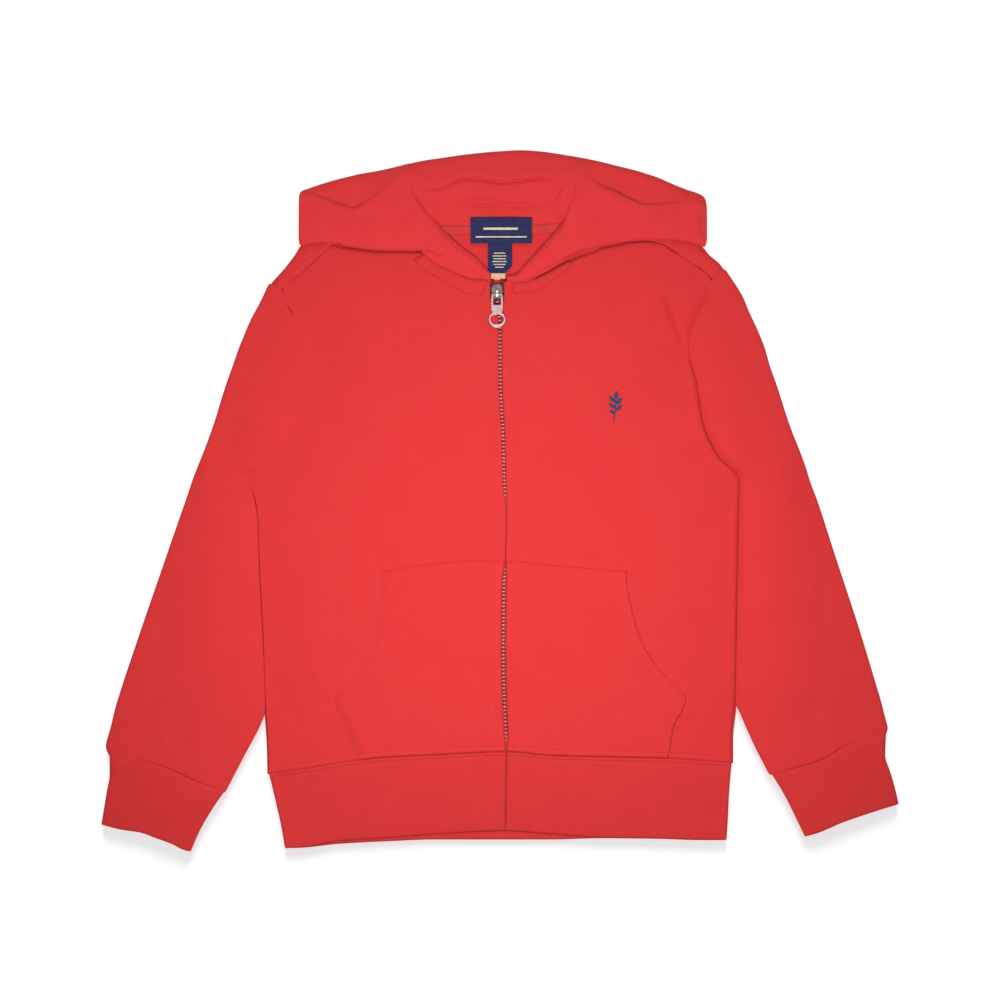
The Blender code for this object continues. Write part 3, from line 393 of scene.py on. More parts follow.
def add_piece(name, parts, look, cad_node=None, body="garment", keep_knit=True):
    """A smooth piece from its parts, with its finish, riding on its body. Metal and thread need no knit."""
    points, quads, tris, knit = join_meshes(parts)
    corners = np.concatenate([quads.ravel(), tris.ravel()])
    starts = np.concatenate([np.arange(len(quads)) * 4, quads.size + np.arange(len(tris)) * 3])
    mesh = bpy.data.meshes.new(name)
    mesh.vertices.add(len(points))
    mesh.vertices.foreach_set("co", (points * MM).astype(np.float32).ravel())
    mesh.loops.add(len(corners))
    mesh.loops.foreach_set("vertex_index", corners.astype(np.int32))
    mesh.polygons.add(len(starts))
    mesh.polygons.foreach_set("loop_start", starts.astype(np.int32))
    if keep_knit:
        mesh.uv_layers.new(name="knit").data.foreach_set("uv", knit.astype(np.float32)[corners].ravel())
    mesh.update(calc_edges=True)
    mesh.shade_smooth()
    mesh.materials.append(look)
    piece = bpy.data.objects.new(name, mesh)
    scene.collection.objects.link(piece)
    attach(piece, body)
    if cad_node:
        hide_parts(cad_node)
    pieces[name] = piece
    print(f"{name}: {2 * len(quads) + len(tris)} triangles")
    return piece


def spaced(width, count, steps=EDGE_STEPS, last=None):
    """Distances across each row from its first edge: close together by both edges, even in between."""
    width = np.atleast_1d(width)
    last = steps if last is None else last
    near, far = (np.broadcast_to(some[:-1], (len(width), len(some) - 1)) for some in (steps, last))
    middle = steps[-1] + (width[:, None] - steps[-1] - last[-1]) * np.linspace(0, 1, count)[None]
    return np.concatenate([near, middle, width[:, None] - far[:, ::-1]], axis=1)


def rounding(distance, radius):
    """Share of the full thickness at a distance from an edge that is rounded with this radius."""
    share = np.clip(np.asarray(distance) / np.maximum(radius, 1e-6), 0, 1)
    return EDGE_SHARE + (1 - EDGE_SHARE) * np.sqrt(1 - (1 - share) ** 2)


def grid_faces(rows, columns, ring=False):
    """Quads between the points of a grid, closed round its columns if it is a ring."""
    row, column = np.meshgrid(np.arange(rows - 1), np.arange(columns if ring else columns - 1), indexing="ij")
    after = (column + 1) % columns
    here, beyond = row * columns, (row + 1) * columns
    corners = (here + column, here + after, beyond + after, beyond + column)
    return np.stack([corner.ravel() for corner in corners], axis=1)


# %% [markdown]
# Most pieces are a panel between two grids, a tube between two sets of rings, or a loft through closed
# sections. Each helper gives a *part*: its points, quads, triangles and knit coordinates, with the faces
# turned outwards. A piece can be one part or several.

# %% Panels, tubes and lofts
NO_TRIS = np.zeros((0, 3), int)


def outward(points, quads, tris, knit):
    """The same part with its faces turned outwards."""
    fans = np.concatenate([quads[:, [0, 1, 2]], quads[:, [0, 2, 3]], tris])
    first, second, third = (points[fans[:, corner]] for corner in range(3))
    if np.einsum("ij,ij->i", first, np.cross(second, third)).sum() < 0:
        quads, tris = quads[:, ::-1], tris[:, ::-1]
    return points, quads, tris, knit


def joined_faces(near, far, knit, sides, ring=False):
    """A closed part from two grids of points that face away from each other, and the quads between them."""
    faces = grid_faces(*near.shape[:2], ring=ring)
    points = np.concatenate([near.reshape(-1, 3), far.reshape(-1, 3)])
    quads = np.concatenate([faces, faces[:, ::-1] + len(points) // 2, *sides])
    return outward(points, quads, NO_TRIS, np.concatenate([knit.reshape(-1, 2)] * 2))


def rim_faces(rim, count):
    """Quads along a closed line of points, from one face to the same points of the other."""
    after = np.roll(rim, -1)
    return np.stack([rim, rim + count, after + count, after], axis=1)


def panel_part(top, under, knit):
    """A closed panel between its top and its underside, two grids of points."""
    count = top[..., 0].size
    place = np.arange(count).reshape(top.shape[:2])
    rim = np.concatenate([place[0, :-1], place[:-1, -1], place[-1, :0:-1], place[:0:-1, 0]])
    return joined_faces(top, under, knit, [rim_faces(rim, count)])


def tube_part(outer, inner, knit):
    """A tube of cloth that is open at both ends, from its outer and its inner rings."""
    rings, around = outer.shape[:2]
    first, count = np.arange(around), rings * around
    ends = [rim_faces(first, count), rim_faces(first + count - around, count)[:, ::-1]]
    return joined_faces(outer, inner, knit, ends, ring=True)


def loft_part(sections, knit=None):
    """A solid through closed sections, with a middle point at each end."""
    count, around = sections.shape[:2]
    points = np.concatenate([sections.reshape(-1, 3), [sections[0].mean(0), sections[-1].mean(0)]])
    step = np.arange(around)
    after, last = (step + 1) % around, (count - 1) * around
    tris = np.concatenate([
        np.stack([np.full(around, count * around), after, step], axis=1),
        np.stack([np.full(around, count * around + 1), last + step, last + after], axis=1),
    ])
    flat = points[:-2, :2] if knit is None else knit.reshape(-1, 2)
    knit = np.concatenate([flat, [flat[:around].mean(0), flat[-around:].mean(0)]])
    return outward(points, grid_faces(count, around, ring=True), tris, knit)


def join_meshes(parts):
    """Points, quads, triangles and knit coordinates of several parts, as one."""
    points, quads, tris, knit = zip(*parts)
    offsets = np.cumsum([0] + [len(part) for part in points[:-1]])
    quads, tris = ([faces + offset for faces, offset in zip(some, offsets)] for some in (quads, tris))
    return [np.concatenate(some) for some in (points, quads, tris, knit)]


# %% [markdown]
# ## The zip's line
# The zip is the garment's middle line. The table gives where it runs and how far each front's folded edge
# stands back from it: the teeth show where the edges stand apart, and are hidden where they close.

# %% The zip's line
ZIP = table(
    "y line apart",
    (173, -2.3, 5.4), (159, -2.3, 5.4), (151, -1.2, 2.4), (140, 0.0, 1.25), (94, 0.4, 1.25),
    (47, 2.7, 1.25), (12, 3.6, 1.15), (-8, 5.0, 0.15), (-47, 4.3, 0.2), (-62, 3.4, 1.2),
    (-117, 2.7, 1.25), (-156, 3.5, 1.2), (-188, 4.8, 1.0), (-200, 5.0, 0.15), (-262, 4.3, 0.15),
)


def zip_line(y):
    """Where the zip runs, from left to right."""
    return look_up(ZIP, "line", y)


def zip_apart(y):
    """How far each front's edge stands back from the zip's line."""
    return look_up(ZIP, "apart", y)


print("zip:", ZIP["y"][0] - ZIP["y"][-1], "mm long")

# %% [markdown]
# ## Back panel
# The back lies flat on the table. It is one wide panel that also wraps forward over both shoulders, to the
# forward shoulder seams. Its outline is a table of its sides, and the seam at the waist is a table of its
# own, because the fronts, the pocket and the waistband end on it too.

# %% Back panel, outline
BACK = table(
    "y left right",
    (211, -66, 62), (209.5, -93, 92), (204, -132, 141), (194, -157.5, 159.5), (183, -167, 172),
    (172, -176.5, 171.5), (168, -179, 169.5), (158, -171, 162.5), (142, -160, 155),
    (128, -150, 149), (118, -147, 148), (105, -148.5, 150), (88, -153, 154), (62, -162, 158),
    (45, -168, 165), (36, -176, 169.5), (26, -186, 179), (17, -196, 187), (12, -195.4, 187),
    (0, -191.2, 186.5), (-18, -189, 186.2), (-47, -188, 185.5), (-109, -185, 184.5),
    (-160, -183, 183.5), (-187, -181, 181), (-206, -180.5, 181),
)
WAIST = table(
    "x seam back_seam front_hem back_hem",
    (-181, -213.5, -213.5, -272, -272), (-156, -210, -209, -271, -271.5),
    (-127, -205, -205.5, -266, -268.5), (-90, -200.5, -202.5, -263.5, -266.5),
    (-50, -198.5, -200.5, -260.5, -265), (4, -196, -199.5, -258, -265),
    (40, -199, -199.5, -260.5, -265), (80, -200, -200.2, -263, -264),
    (125, -201, -201, -264, -264.5), (156, -203, -203, -265, -265.5),
    (181, -205, -205, -265, -265.5),
)
SIDE_REACH = 1.3      # the back shows this far beyond the fronts, below the seams
BACK_TOP = 211.0
WAIST_LEVEL = -206.0  # where every panel's rows end, before they are bent to the waist seam
WAIST_FADE = 60.0
# How far above the seam's line each piece ends, so that they meet without cutting into each other
SEAM_GAP = {"back": -0.3, "front": 0.05, "pocket": 0.1, "band": 0.2}
BACK_FOLDS = [
    (0.7, 9, 0.4, [(-120, 150), (-60, 96), (-20, 60)]),
    (0.6, 8, 0.4, [(118, 140), (74, 100), (30, 84)]),
    (0.8, 10, 0.4, [(-150, -60), (-80, -84), (-10, -76)]),
    (0.6, 8, 0.4, [(150, -30), (90, -66), (40, -70)]),
    (0.5, 6, 0.4, [(-140, -170), (-90, -150), (-52, -146)]),
    (0.5, 7, 0.4, [(136, -176), (96, -160), (60, -156)]),
]
print("waist seam:", len(WAIST["x"]), "places")

# %% [markdown]
# The flat part is a grid of rows from side to side. `panel_grid` makes such rows for any panel, with each
# point's distance from all four edges, which the rounding needs. Near the waist the rows are bent little by
# little, until the last one follows the seam.

# %% Back panel, flat part


def waist_drop(x, y, seam, gap):
    """How far a row near the waist is bent, so that the last one ends at a gap above the seam."""
    near = 1 - ease((y - WAIST_LEVEL) / WAIST_FADE)
    return (look_up(WAIST, seam, x) + gap - WAIST_LEVEL) * near


def panel_grid(top_row, last_row, first, second, step, edges=EDGE_STEPS, last=None, extra=()):
    """Rows of places between two edges, with distances from the first, the second, the top and the end."""
    rows = top_row - spaced(top_row - last_row, max(2, int((top_row - last_row) / step[0])), edges)[0]
    rows = np.unique(np.concatenate([rows, extra]))[::-1]
    start, end = first(rows), second(rows)
    width = np.abs(end - start)
    away = spaced(width, max(2, int(width.max() / step[1])), edges, last)
    x = start[:, None] + np.sign(end - start)[:, None] * away
    y = np.broadcast_to(rows[:, None], x.shape)
    return x, y, away, width[:, None] - away, top_row - y, y - last_row


def back_side(side, way):
    """The back's edge on one side. Below the shoulder it reaches a little beyond the front."""
    return lambda rows: look_up(BACK, side, rows) + way * SIDE_REACH * ease((178 - rows) / 20)


x, y, off_left, off_right, off_top, off_end = panel_grid(
    BACK_TOP, WAIST_LEVEL, back_side("left", -1), back_side("right", 1), (3.2, 3.2))
edge = rounding(off_left, 2.0) * rounding(off_right, 2.0) * rounding(off_top, 1.1) * rounding(off_end, 1.1)
soft = ease(np.minimum(np.minimum(off_left, off_right), np.minimum(off_top, off_end)) / 25)
lifted = np.maximum(folds(x, y, BACK_FOLDS), 0) * soft
bent = y + waist_drop(x, y, "back_seam", SEAM_GAP["back"])
back_flat = panel_part(
    stacked(x, bent, lifted + WALL * (0.5 + 0.5 * edge)),
    stacked(x, bent, lifted + WALL * 0.5 * (1 - edge)),
    stacked(x, bent),
)
print("back:", len(back_flat[0]), "points")

# %% [markdown]
# The shoulders run outwards from the seam, over the fold and back under. Each is a hairpin-shaped section,
# swept along the fold. Its lower arm stays inside the flat panel, so that the two are one piece.

# %% Back panel, over the shoulders
SHOULDER_LEFT = table(
    "fold_x fold_y seam_x seam_y",
    (-178.6, 167.8, -170.3, 165.4), (-167, 183, -158.4, 176), (-160.4, 191.8, -147.8, 185.3),
    (-156.8, 197.6, -142.5, 190.2), (-152.5, 203, -136, 196), (-136, 206.4, -130.8, 199.8),
    (-108, 207.5, -108, 203.5), (-80, 209.8, -82, 203.5),
)
SHOULDER_RIGHT = table(
    "fold_x fold_y seam_x seam_y",
    (176.4, 178.5, 166.3, 173.4), (171, 185.6, 158, 181), (163.2, 192.2, 150.4, 185.6),
    (158.8, 197.6, 143.6, 190.4), (154.5, 202.6, 136, 195.4), (140, 206.6, 127, 200.6),
    (110, 208, 110, 203.6), (84, 209.6, 82, 203.6),
)
SHOULDER_TOP = 5.0
HAIRPIN = [            # share from the fold to the seam, and height
    (1.04, 2.7), (1.05, 3.9), (1.03, 4.7), (0.97, SHOULDER_TOP + 0.15), (0.87, SHOULDER_TOP + 0.35),
    (0.7, SHOULDER_TOP + 0.2), (0.5, SHOULDER_TOP + 0.25), (0.3, SHOULDER_TOP - 0.05), (0.14, 4.4),
    (0.04, 3.5), (0.0, 2.5), (0.02, 1.5), (0.08, 0.7), (0.2, 0.15), (0.6, 0.1), (0.62, 2.0), (0.3, 2.1),
    (0.24, 2.4), (0.3, 2.7),
]
SHOULDER_COUNT = 44   # sections along each shoulder


def shoulder_part(form):
    """The hairpin, swept along one shoulder."""
    shares = np.linspace(0, 1, SHOULDER_COUNT)
    fold = along(np.column_stack([form["fold_x"], form["fold_y"]]), shares)
    seam = along(np.column_stack([form["seam_x"], form["seam_y"]]), shares)
    sections = []
    for share, level in HAIRPIN:
        place = fold * (1 - share) + seam * share
        sections.append(stacked(place[:, 0], place[:, 1], level))
    return loft_part(np.stack(sections, axis=1))


back_parts = [back_flat, shoulder_part(SHOULDER_LEFT), shoulder_part(SHOULDER_RIGHT)]
add_piece("back_panel", back_parts, FLEECE_RED, "back")

# %% [markdown]
# ## Fronts
# Each front runs from the shoulder seam to the waist, and from the armhole and the side to the zip, where
# its edge is folded under and topstitched. Where the sleeve is set in smoothly the edge stays nearly full.
# Where the body parts from the sleeve it rounds off over several millimetres, which leaves a dark valley
# between the two.

# %% Fronts, outlines
FRONT_TOP = 203.0
NECKLINE_END = 171.0  # below this the inner edge is the zip's
FRONT_LEFT = table(
    "y outer neck",
    (203, -108, -78), (199, -131.5, -70), (193, -139.2, -60), (186, -146.8, -51),
    (181, -152.6, -41), (175, -159.4, -28), (172, -162.8, -8.5), (165, -170, 0), (158, -170, 0),
    (151, -165, 0), (142, -160, 0), (128, -150, 0), (118, -147, 0), (105, -148.5, 0), (88, -153, 0),
    (62, -162, 0), (45, -168, 0), (36, -176, 0), (26, -186, 0), (18.5, -197, 0), (12, -195.4, 0),
    (0, -191.2, 0), (-18, -189, 0), (-47, -188, 0), (-109, -185, 0), (-160, -183, 0),
    (-187, -181, 0), (-206, -180.5, 0),
)
FRONT_RIGHT = table(
    "y outer neck",
    (203, 110, 74), (200, 127, 70), (195, 135, 63), (189, 145, 55), (183, 154, 47), (176, 163, 36),
    (173, 165, 26), (172, 165.5, 8), (167, 168.5, 0), (158, 162.5, 0), (149, 157.5, 0),
    (137, 152.5, 0), (128, 149, 0), (119, 148, 0), (105, 150, 0), (91, 153.5, 0), (63, 158, 0),
    (53, 161, 0), (42, 166, 0), (33, 171.5, 0), (25, 180, 0), (17, 187, 0), (0, 186.5, 0),
    (-78, 185, 0), (-158, 183.5, 0), (-180, 181, 0), (-206, 181, 0),
)
# How far in from the outer edge each front is rounded, from the shoulder down
ROUND_LEFT = table("y radius", (203, 2.0), (176, 2.0), (164, 0.4), (136, 0.3), (116, 0.3), (-206, 0.3))
ROUND_RIGHT = table(
    "y radius",
    (203, 2.0), (175, 2.0), (166, 0.5), (128, 0.6), (112, 3.2), (30, 3.6), (10, 3.6), (-150, 3.2),
    (-206, 1.8),
)
print("fronts:", len(FRONT_LEFT["y"]), "and", len(FRONT_RIGHT["y"]), "rows in their tables")

# %% [markdown]
# The fronts rise a little off the back. Over that lift come the folds: the long narrow troughs lie under the
# hood's turned-out edges and above the pocket, and the broad faint ones break up the plain chest. Beside the
# zip the placket's stitches pull in a groove. The pocket and the neck bands use this same form, so that they
# follow every fold beneath them.

# %% Fronts, folds and form
FRONT_LIFT = 3.0
LIFT_REACH = 50.0
SHOULDER_LEVEL = 206.0
FRONT_FOLDS = {
    -1: [
        (-0.55, 3.2, 0.35, [(-93, -31), (-70, -25), (-54, -18), (-31, -21), (-11, -17)]),
        (0.35, 4.0, 0.35, [(-92, -22), (-68, -16), (-50, -10), (-28, -13)]),
        (-2.6, 1.5, 0.1, [(-140, 202.8), (-133, 201.4), (-123, 199), (-97, 195.6), (-71, 195.2),
                          (-60, 195.2), (-50, 192)]),
        (-0.5, 7.0, 0.4, [(-140, 176), (-122, 150), (-112, 120)]),
        (-0.4, 6.0, 0.4, [(-176, -6), (-158, -30), (-150, -64)]),
        (0.4, 9.0, 0.4, [(-60, 150), (-64, 90), (-58, 30)]),
        (-0.35, 8.0, 0.4, [(-110, 60), (-88, 20), (-84, -14)]),
        (-0.4, 0.9, 0.06, [(-97, -50.4), (-59, -44.6), (-17, -41.1), (2, -41.4)]),
    ],
    1: [
        (-1.8, 3.0, 0.3, [(127, 168), (134, 148), (141, 129), (148, 117)]),
        (0.9, 4.0, 0.2, [(145, 112), (150, 91), (154, 63), (162, 43), (174, 26)]),
        (0.7, 3.0, 0.15, [(183, 8), (182.5, -78), (180.5, -156)]),
        (-2.8, 1.6, 0.1, [(153, 201.6), (147, 203.4), (121, 204.4), (100, 202.7), (74.5, 197.4),
                          (48.5, 186.6), (36, 180.6), (26, 176)]),
        (-1.9, 2.0, 0.12, [(25, 174.6), (36, 179), (48, 184.8), (60, 190.8), (80, 197.8)]),
        (-2.1, 3.6, 0.25, [(168, 172), (161.5, 158), (152, 138), (147, 116)]),
        (0.5, 5.0, 0.3, [(120, 166), (127, 148), (134, 130), (141, 116)]),
        (-0.4, 7.0, 0.4, [(170, 2), (156, -26), (152, -70)]),
        (0.4, 10.0, 0.4, [(62, 140), (70, 84), (64, 20)]),
        (-0.35, 7.0, 0.4, [(116, 40), (94, 6), (90, -30)]),
        (-0.4, 4.0, 0.35, [(14, -26), (34, -30), (58, -27), (86, -33)]),
        (-0.4, 0.9, 0.06, [(6, -41.8), (47, -45.6), (98, -49.6)]),
    ],
}
PLACKET = 9.4         # from the zip's line to the placket's row of stitches
PLACKET_GROOVE, PLACKET_SWELL = 0.6, 0.3
SWELL, SWELL_WIDTH, DENT_WIDTH = 0.4, 0.9, 0.75   # beside a seam: the height of both, and their half widths


def lift(x, y):
    """How far the fronts rise off the back at a place."""
    sides = np.where(x < 0, look_up(BACK, "left", y), look_up(BACK, "right", y))
    return FRONT_LIFT * ease(np.abs(sides - x) / LIFT_REACH) * ease((SHOULDER_LEVEL - y) / LIFT_REACH)


def body_form(x, y, side):
    """Height of a front's underside, with its folds and the groove of its placket."""
    off_stitches = np.abs(x - zip_line(y)) - PLACKET
    placket = -PLACKET_GROOVE * hump(off_stitches, 1.0) + PLACKET_SWELL * hump(off_stitches + 4, 2.2)
    below_neck = ease((168 - y) / 12)
    return WALL + GAP + lift(x, y) + folds(x, y, FRONT_FOLDS[side]) + placket * below_neck


def seam_swell(away, ridge, dent):
    """Height beside a seam: folded layers swell at one distance, and stitches pull them in at another."""
    return SWELL * hump(away - ridge, SWELL_WIDTH) - SWELL * hump(away - dent, DENT_WIDTH)


print("folds on the fronts:", sum(len(rows) for rows in FRONT_FOLDS.values()))

# %% [markdown]
# The panels' points lie closer together where a seam or a narrow fold needs them: beside the outer edge and
# the zip, across the neck and along the pocket's top. The underside keeps a little above the table and a
# little below the top, so that no fold pushes one face through another.

# %% Fronts, made
SEAM_STEPS = (0.0, 0.25, 0.8, 1.3, 1.8, 2.3, 2.8, 3.3, 3.8, 4.4, 5.0, 6.0)
ZIP_STEPS = (0.0, 0.25, 0.8, 1.7, 3.0, 4.6, 6.0, 6.8, 7.5, 8.2, 8.9, 9.6, 10.4, 11.6, 13.4)
FINE_ROWS = np.concatenate([np.arange(168.5, 203.0, 0.75), np.arange(-54.0, -39.0, 0.8)])
LEAST_HEIGHT = 0.1    # above the table
LEAST_WALL = 0.12
SHOULDER_SEAM, WAIST_SEAM = (1.7, 3.6), (1.9, 3.9)   # ridge and dent, from the seam


def front_inner(y, form, side):
    """The neckline, and below it the edge beside the zip."""
    return np.where(y > NECKLINE_END, look_up(form, "neck", y), zip_line(y) + side * zip_apart(y))


for name, side, form, radius in (
    ("left", -1, FRONT_LEFT, ROUND_LEFT),
    ("right", 1, FRONT_RIGHT, ROUND_RIGHT),
):
    x, y, off_outer, off_inner, off_top, off_end = panel_grid(
        FRONT_TOP, WAIST_LEVEL,
        lambda rows: look_up(form, "outer", rows),
        lambda rows: front_inner(rows, form, side),
        (2.1, 2.2), SEAM_STEPS, ZIP_STEPS, FINE_ROWS,
    )
    outer_round = rounding(off_outer, look_up(radius, "radius", y))
    full = outer_round * rounding(off_inner, 2.2) * rounding(off_top, 1.2) * rounding(off_end, 0.9)
    on_shoulder = ease((y - 176) / 8)
    swell = on_shoulder * seam_swell(off_outer, *SHOULDER_SEAM)
    base = np.maximum(body_form(x, y, side) + swell + seam_swell(off_end, *WAIST_SEAM), LEAST_HEIGHT)
    bent = y + waist_drop(x, y, "seam", SEAM_GAP["front"])
    high = base + WALL * (0.5 + 0.5 * full) - WALL * 0.45 * (1 - outer_round)
    low = base + WALL * 0.5 * (1 - full) * np.where(off_outer < SEAM_STEPS[-1], 0.1, 1.0)
    low = np.minimum(low, high - LEAST_WALL)
    panel = panel_part(stacked(x, bent, high), stacked(x, bent, low), stacked(x, bent))
    add_piece("front_panel_" + name, [panel], FLEECE_RED, "front_" + name)

# %% [markdown]
# ## Sleeves
# A sleeve is a tube, folded flat by its own weight: a hard fold along its outer edge, a softer one along the
# underarm, and a long swell between them that is highest towards the underarm. Its sections come from a
# table: where each starts and ends, how much it follows the cuff's seam (bend), how high it swells (puff) and
# how round its underarm fold is (fold). The cuffs' outlines stand here too, since the sleeves end on them.

# %% Sleeves and cuffs, outlines
SLEEVE_LEFT = table(
    "outer_x outer_y inner_x inner_y bend puff fold",
    (-180.6, 169.6, -170.9, 167.2, 0, 0, 1.2), (-188, 154, -165.9, 152, 0, 0.2, 0.8),
    (-194.5, 142, -159.3, 142, 0, 0.5, 0.8), (-200.5, 128, -148.9, 128, 0, 0.9, 0.8),
    (-204.5, 118, -145.5, 118, 0, 1.2, 0.8), (-209, 105, -146.7, 105, 0, 1.6, 0.8),
    (-215, 88, -152, 88, 0, 2, 0.4), (-223, 62, -161, 62, 0, 2.6, 0.4),
    (-229, 45, -167, 45, 0, 3, 0.4), (-232.5, 36, -175, 36, 0, 3.2, 0.4),
    (-236.5, 26, -185, 26, 0, 3.4, 0.4), (-240, 17, -196, 17.5, 0, 3.6, 0.4),
    (-244, 5, -192.4, 4, 0, 4, 0.4), (-252, -18, -189, -18, 0, 4.6, 0.4),
    (-262, -47, -188.2, -47, 0, 5, 0.4), (-283, -108, -185.2, -109, 0.05, 5.2, 0.4),
    (-297, -150, -183.4, -154, 0.2, 4.8, 0.6), (-300.9, -163, -183.7, -165.5, 0.3, 4.4, 1.2),
    (-304, -176, -187, -175, 0.45, 4, 2.35), (-308, -192, -200, -200, 0.8, 3.4, 2.35),
    (-305, -200.4, -215, -228.8, 1, 3, 2.35),
)
SLEEVE_RIGHT = table(
    "outer_x outer_y inner_x inner_y bend puff fold",
    (176, 181, 166.2, 175.2, 0, 0, 1.2), (190.4, 158, 161.7, 158, 0, 0.2, 0.5),
    (194, 149, 156.7, 149, 0, 0.5, 0.5), (201, 134, 150.2, 134, 0, 0.9, 0.5),
    (207, 119, 147.2, 119, 0, 1.6, 1), (211, 105, 149.9, 105, 0, 2.6, 4),
    (216, 91, 153.2, 91, 0, 3.4, 7), (225, 63, 157.7, 63, 0, 4.2, 9),
    (229, 52, 160.9, 52, 0, 4.4, 9), (233, 42, 165.7, 42, 0, 4.6, 9),
    (236.5, 33, 171.2, 33, 0, 4.8, 9), (239.5, 24.5, 179.9, 24.5, 0, 5, 9),
    (242, 16, 186.7, 16.5, 0, 5, 9), (248, 0, 186.2, 0, 0, 5.2, 9),
    (261, -40, 185.5, -40, 0, 5.8, 9), (281, -101, 184.4, -100, 0.05, 6.2, 8),
    (294, -144, 183.7, -146, 0.2, 5.4, 6), (297.6, -156, 183.7, -157, 0.3, 4.6, 5),
    (300.4, -167, 187.6, -166.5, 0.45, 4, 2.35), (303, -178, 198, -190, 0.8, 3.4, 2.35),
    (301, -183.8, 210.4, -214.6, 1, 3, 2.35),
)
CUFF_LEFT = {
    "seam": [(-305, -200.4), (-295, -200.6), (-284, -202.1), (-269, -206.1), (-256, -210.6), (-240, -218.1),
             (-224, -225.1), (-215.5, -229)],
    "wrist": [(-311.5, -253), (-296, -257), (-280, -259.5), (-269, -263.5), (-257, -268), (-247, -273),
              (-241.5, -274)],
    "outer": [(-305, -200.4), (-305, -214), (-307, -226), (-311.5, -253)],
    "inner": [(-215.5, -229), (-224, -240), (-234, -257), (-241.5, -274)],
}
CUFF_RIGHT = {
    "seam": [(301.5, -183.8), (288, -185.8), (277, -189.8), (267, -193.8), (258, -199.3), (246, -204.8),
             (235, -207.8), (224, -211.8), (212, -214.8)],
    "wrist": [(311.5, -237), (289, -244), (266, -252), (250, -259), (238, -262.5)],
    "outer": [(301.5, -183.8), (301, -199), (305, -212), (309, -226), (311.5, -237)],
    "inner": [(212, -214.8), (221, -228), (234, -254), (238, -262.5)],
}
print("sleeves:", len(SLEEVE_LEFT["puff"]), "and", len(SLEEVE_RIGHT["puff"]), "sections")

# %% [markdown]
# One helper makes any such tube, from a function that places points at shares across each section. The same
# points, moved in by the wall, make the inside, so the tube is hollow, as the real one is. Towards an open
# end the wall gets thinner from both faces, which rounds the cut edge.

# %% A tube of cloth that lies flat
TUBE_STEPS = (0.0, 0.15, 0.6, 1.3, 2.2, 3.2)
FOLD_FADE = 7.0       # folds and swell start this far in from the tube's edges
SAG, SAG_REACH = 0.15, 4.5   # how a soft fold lets the rest of the section sink


def flat_tube(place, lengths, wall, room, puff, relief, end_radius, step, fold=None):
    """A tube folded along both edges, from its room inside, its swell and its folds in each section.

    place gives points at shares across each section, and fold is the inner edge's own radius.
    """
    height = 2 * wall + room
    edges = place(np.tile([0.0, 1.0], (len(lengths), 1)))
    width = np.linalg.norm(edges[:, 1] - edges[:, 0], axis=1)
    away = spaced(width, int(width.max() / step), TUBE_STEPS)
    width = width[:, None]
    share = away / width
    from_fold = np.minimum(away, width - away)
    inner_fold = np.full(len(lengths), height / 2) if fold is None else fold
    reach = np.where(away < width / 2, height / 2, inner_fold[:, None])
    roundness = np.sqrt(1 - (1 - np.minimum(from_fold / reach, 1)) ** 2)
    swell = puff[:, None] * np.sin(np.pi * share**1.5) ** 0.9
    from_end = np.minimum(lengths, lengths[-1] - lengths)[:, None]
    taper = (1 - rounding(from_end, end_radius)) * wall * 0.5
    soft = np.maximum(inner_fold - height / 2, 0)[:, None]
    sag = SAG * soft * (1 - ease((width - away) / SAG_REACH))

    def ring_points(inset):
        shrink = inset + (taper if inset == 0 else -taper)
        points = place(shrink / width + share * (1 - 2 * shrink / width))
        half = np.maximum(height / 2 - shrink, 0.05) * roundness
        raised = (swell + relief(points[..., 0], points[..., 1])) * ease(from_fold / FOLD_FADE)
        top = stacked(points[..., 0], points[..., 1], height / 2 + half + raised - sag)
        low = stacked(points[..., 0], points[..., 1], np.maximum(height / 2 - half - sag, inset))
        return np.concatenate([top, low[:, -2:0:-1]], axis=1)

    around = np.concatenate([away, (2 * width - away)[:, -2:0:-1]], axis=1)
    return tube_part(ring_points(0.0), ring_points(wall), stacked(around, lengths[:, None]))


print("tube edge steps:", TUBE_STEPS)

# %% [markdown]
# The sleeves themselves. Their folds are long and soft: one trough down the inside of each arm, and a few
# short ones that gather where the sleeve is eased into its cuff.

# %% Sleeves
SLEEVE_ROOM = 0.45    # between the two layers
SLEEVE_FOLDS = {
    -1: [
        (-1.5, 11, 0.35, [(-208, 78), (-212, 44), (-208, 6), (-203, -34)]),
        (0.7, 8, 0.4, [(-226, 60), (-230, 20), (-236, -30)]),
        (-0.7, 7, 0.4, [(-270, -60), (-262, -104), (-268, -150)]),
        (0.6, 9, 0.4, [(-226, -40), (-222, -96), (-228, -150)]),
        (-0.6, 5, 0.35, [(-252, -150), (-250, -176), (-246, -208)]),
        (-0.5, 4, 0.35, [(-276, -164), (-278, -184), (-276, -200)]),
        (0.5, 5, 0.35, [(-264, -160), (-263, -182), (-260, -204)]),
        (-0.5, 5, 0.35, [(-222, -170), (-226, -192), (-226, -218)]),
    ],
    1: [
        (-1.1, 10, 0.35, [(190, 92), (196, 60), (204, 22), (206, -14)]),
        (0.6, 8, 0.4, [(212, 70), (220, 30), (226, -20)]),
        (-0.6, 7, 0.4, [(254, -40), (252, -90), (262, -140)]),
        (0.6, 9, 0.4, [(214, -46), (212, -98), (218, -146)]),
        (-0.6, 5, 0.35, [(246, -136), (246, -164), (240, -196)]),
        (-0.5, 4, 0.35, [(272, -146), (274, -166), (272, -184)]),
        (0.5, 5, 0.35, [(258, -142), (260, -166), (256, -190)]),
    ],
}
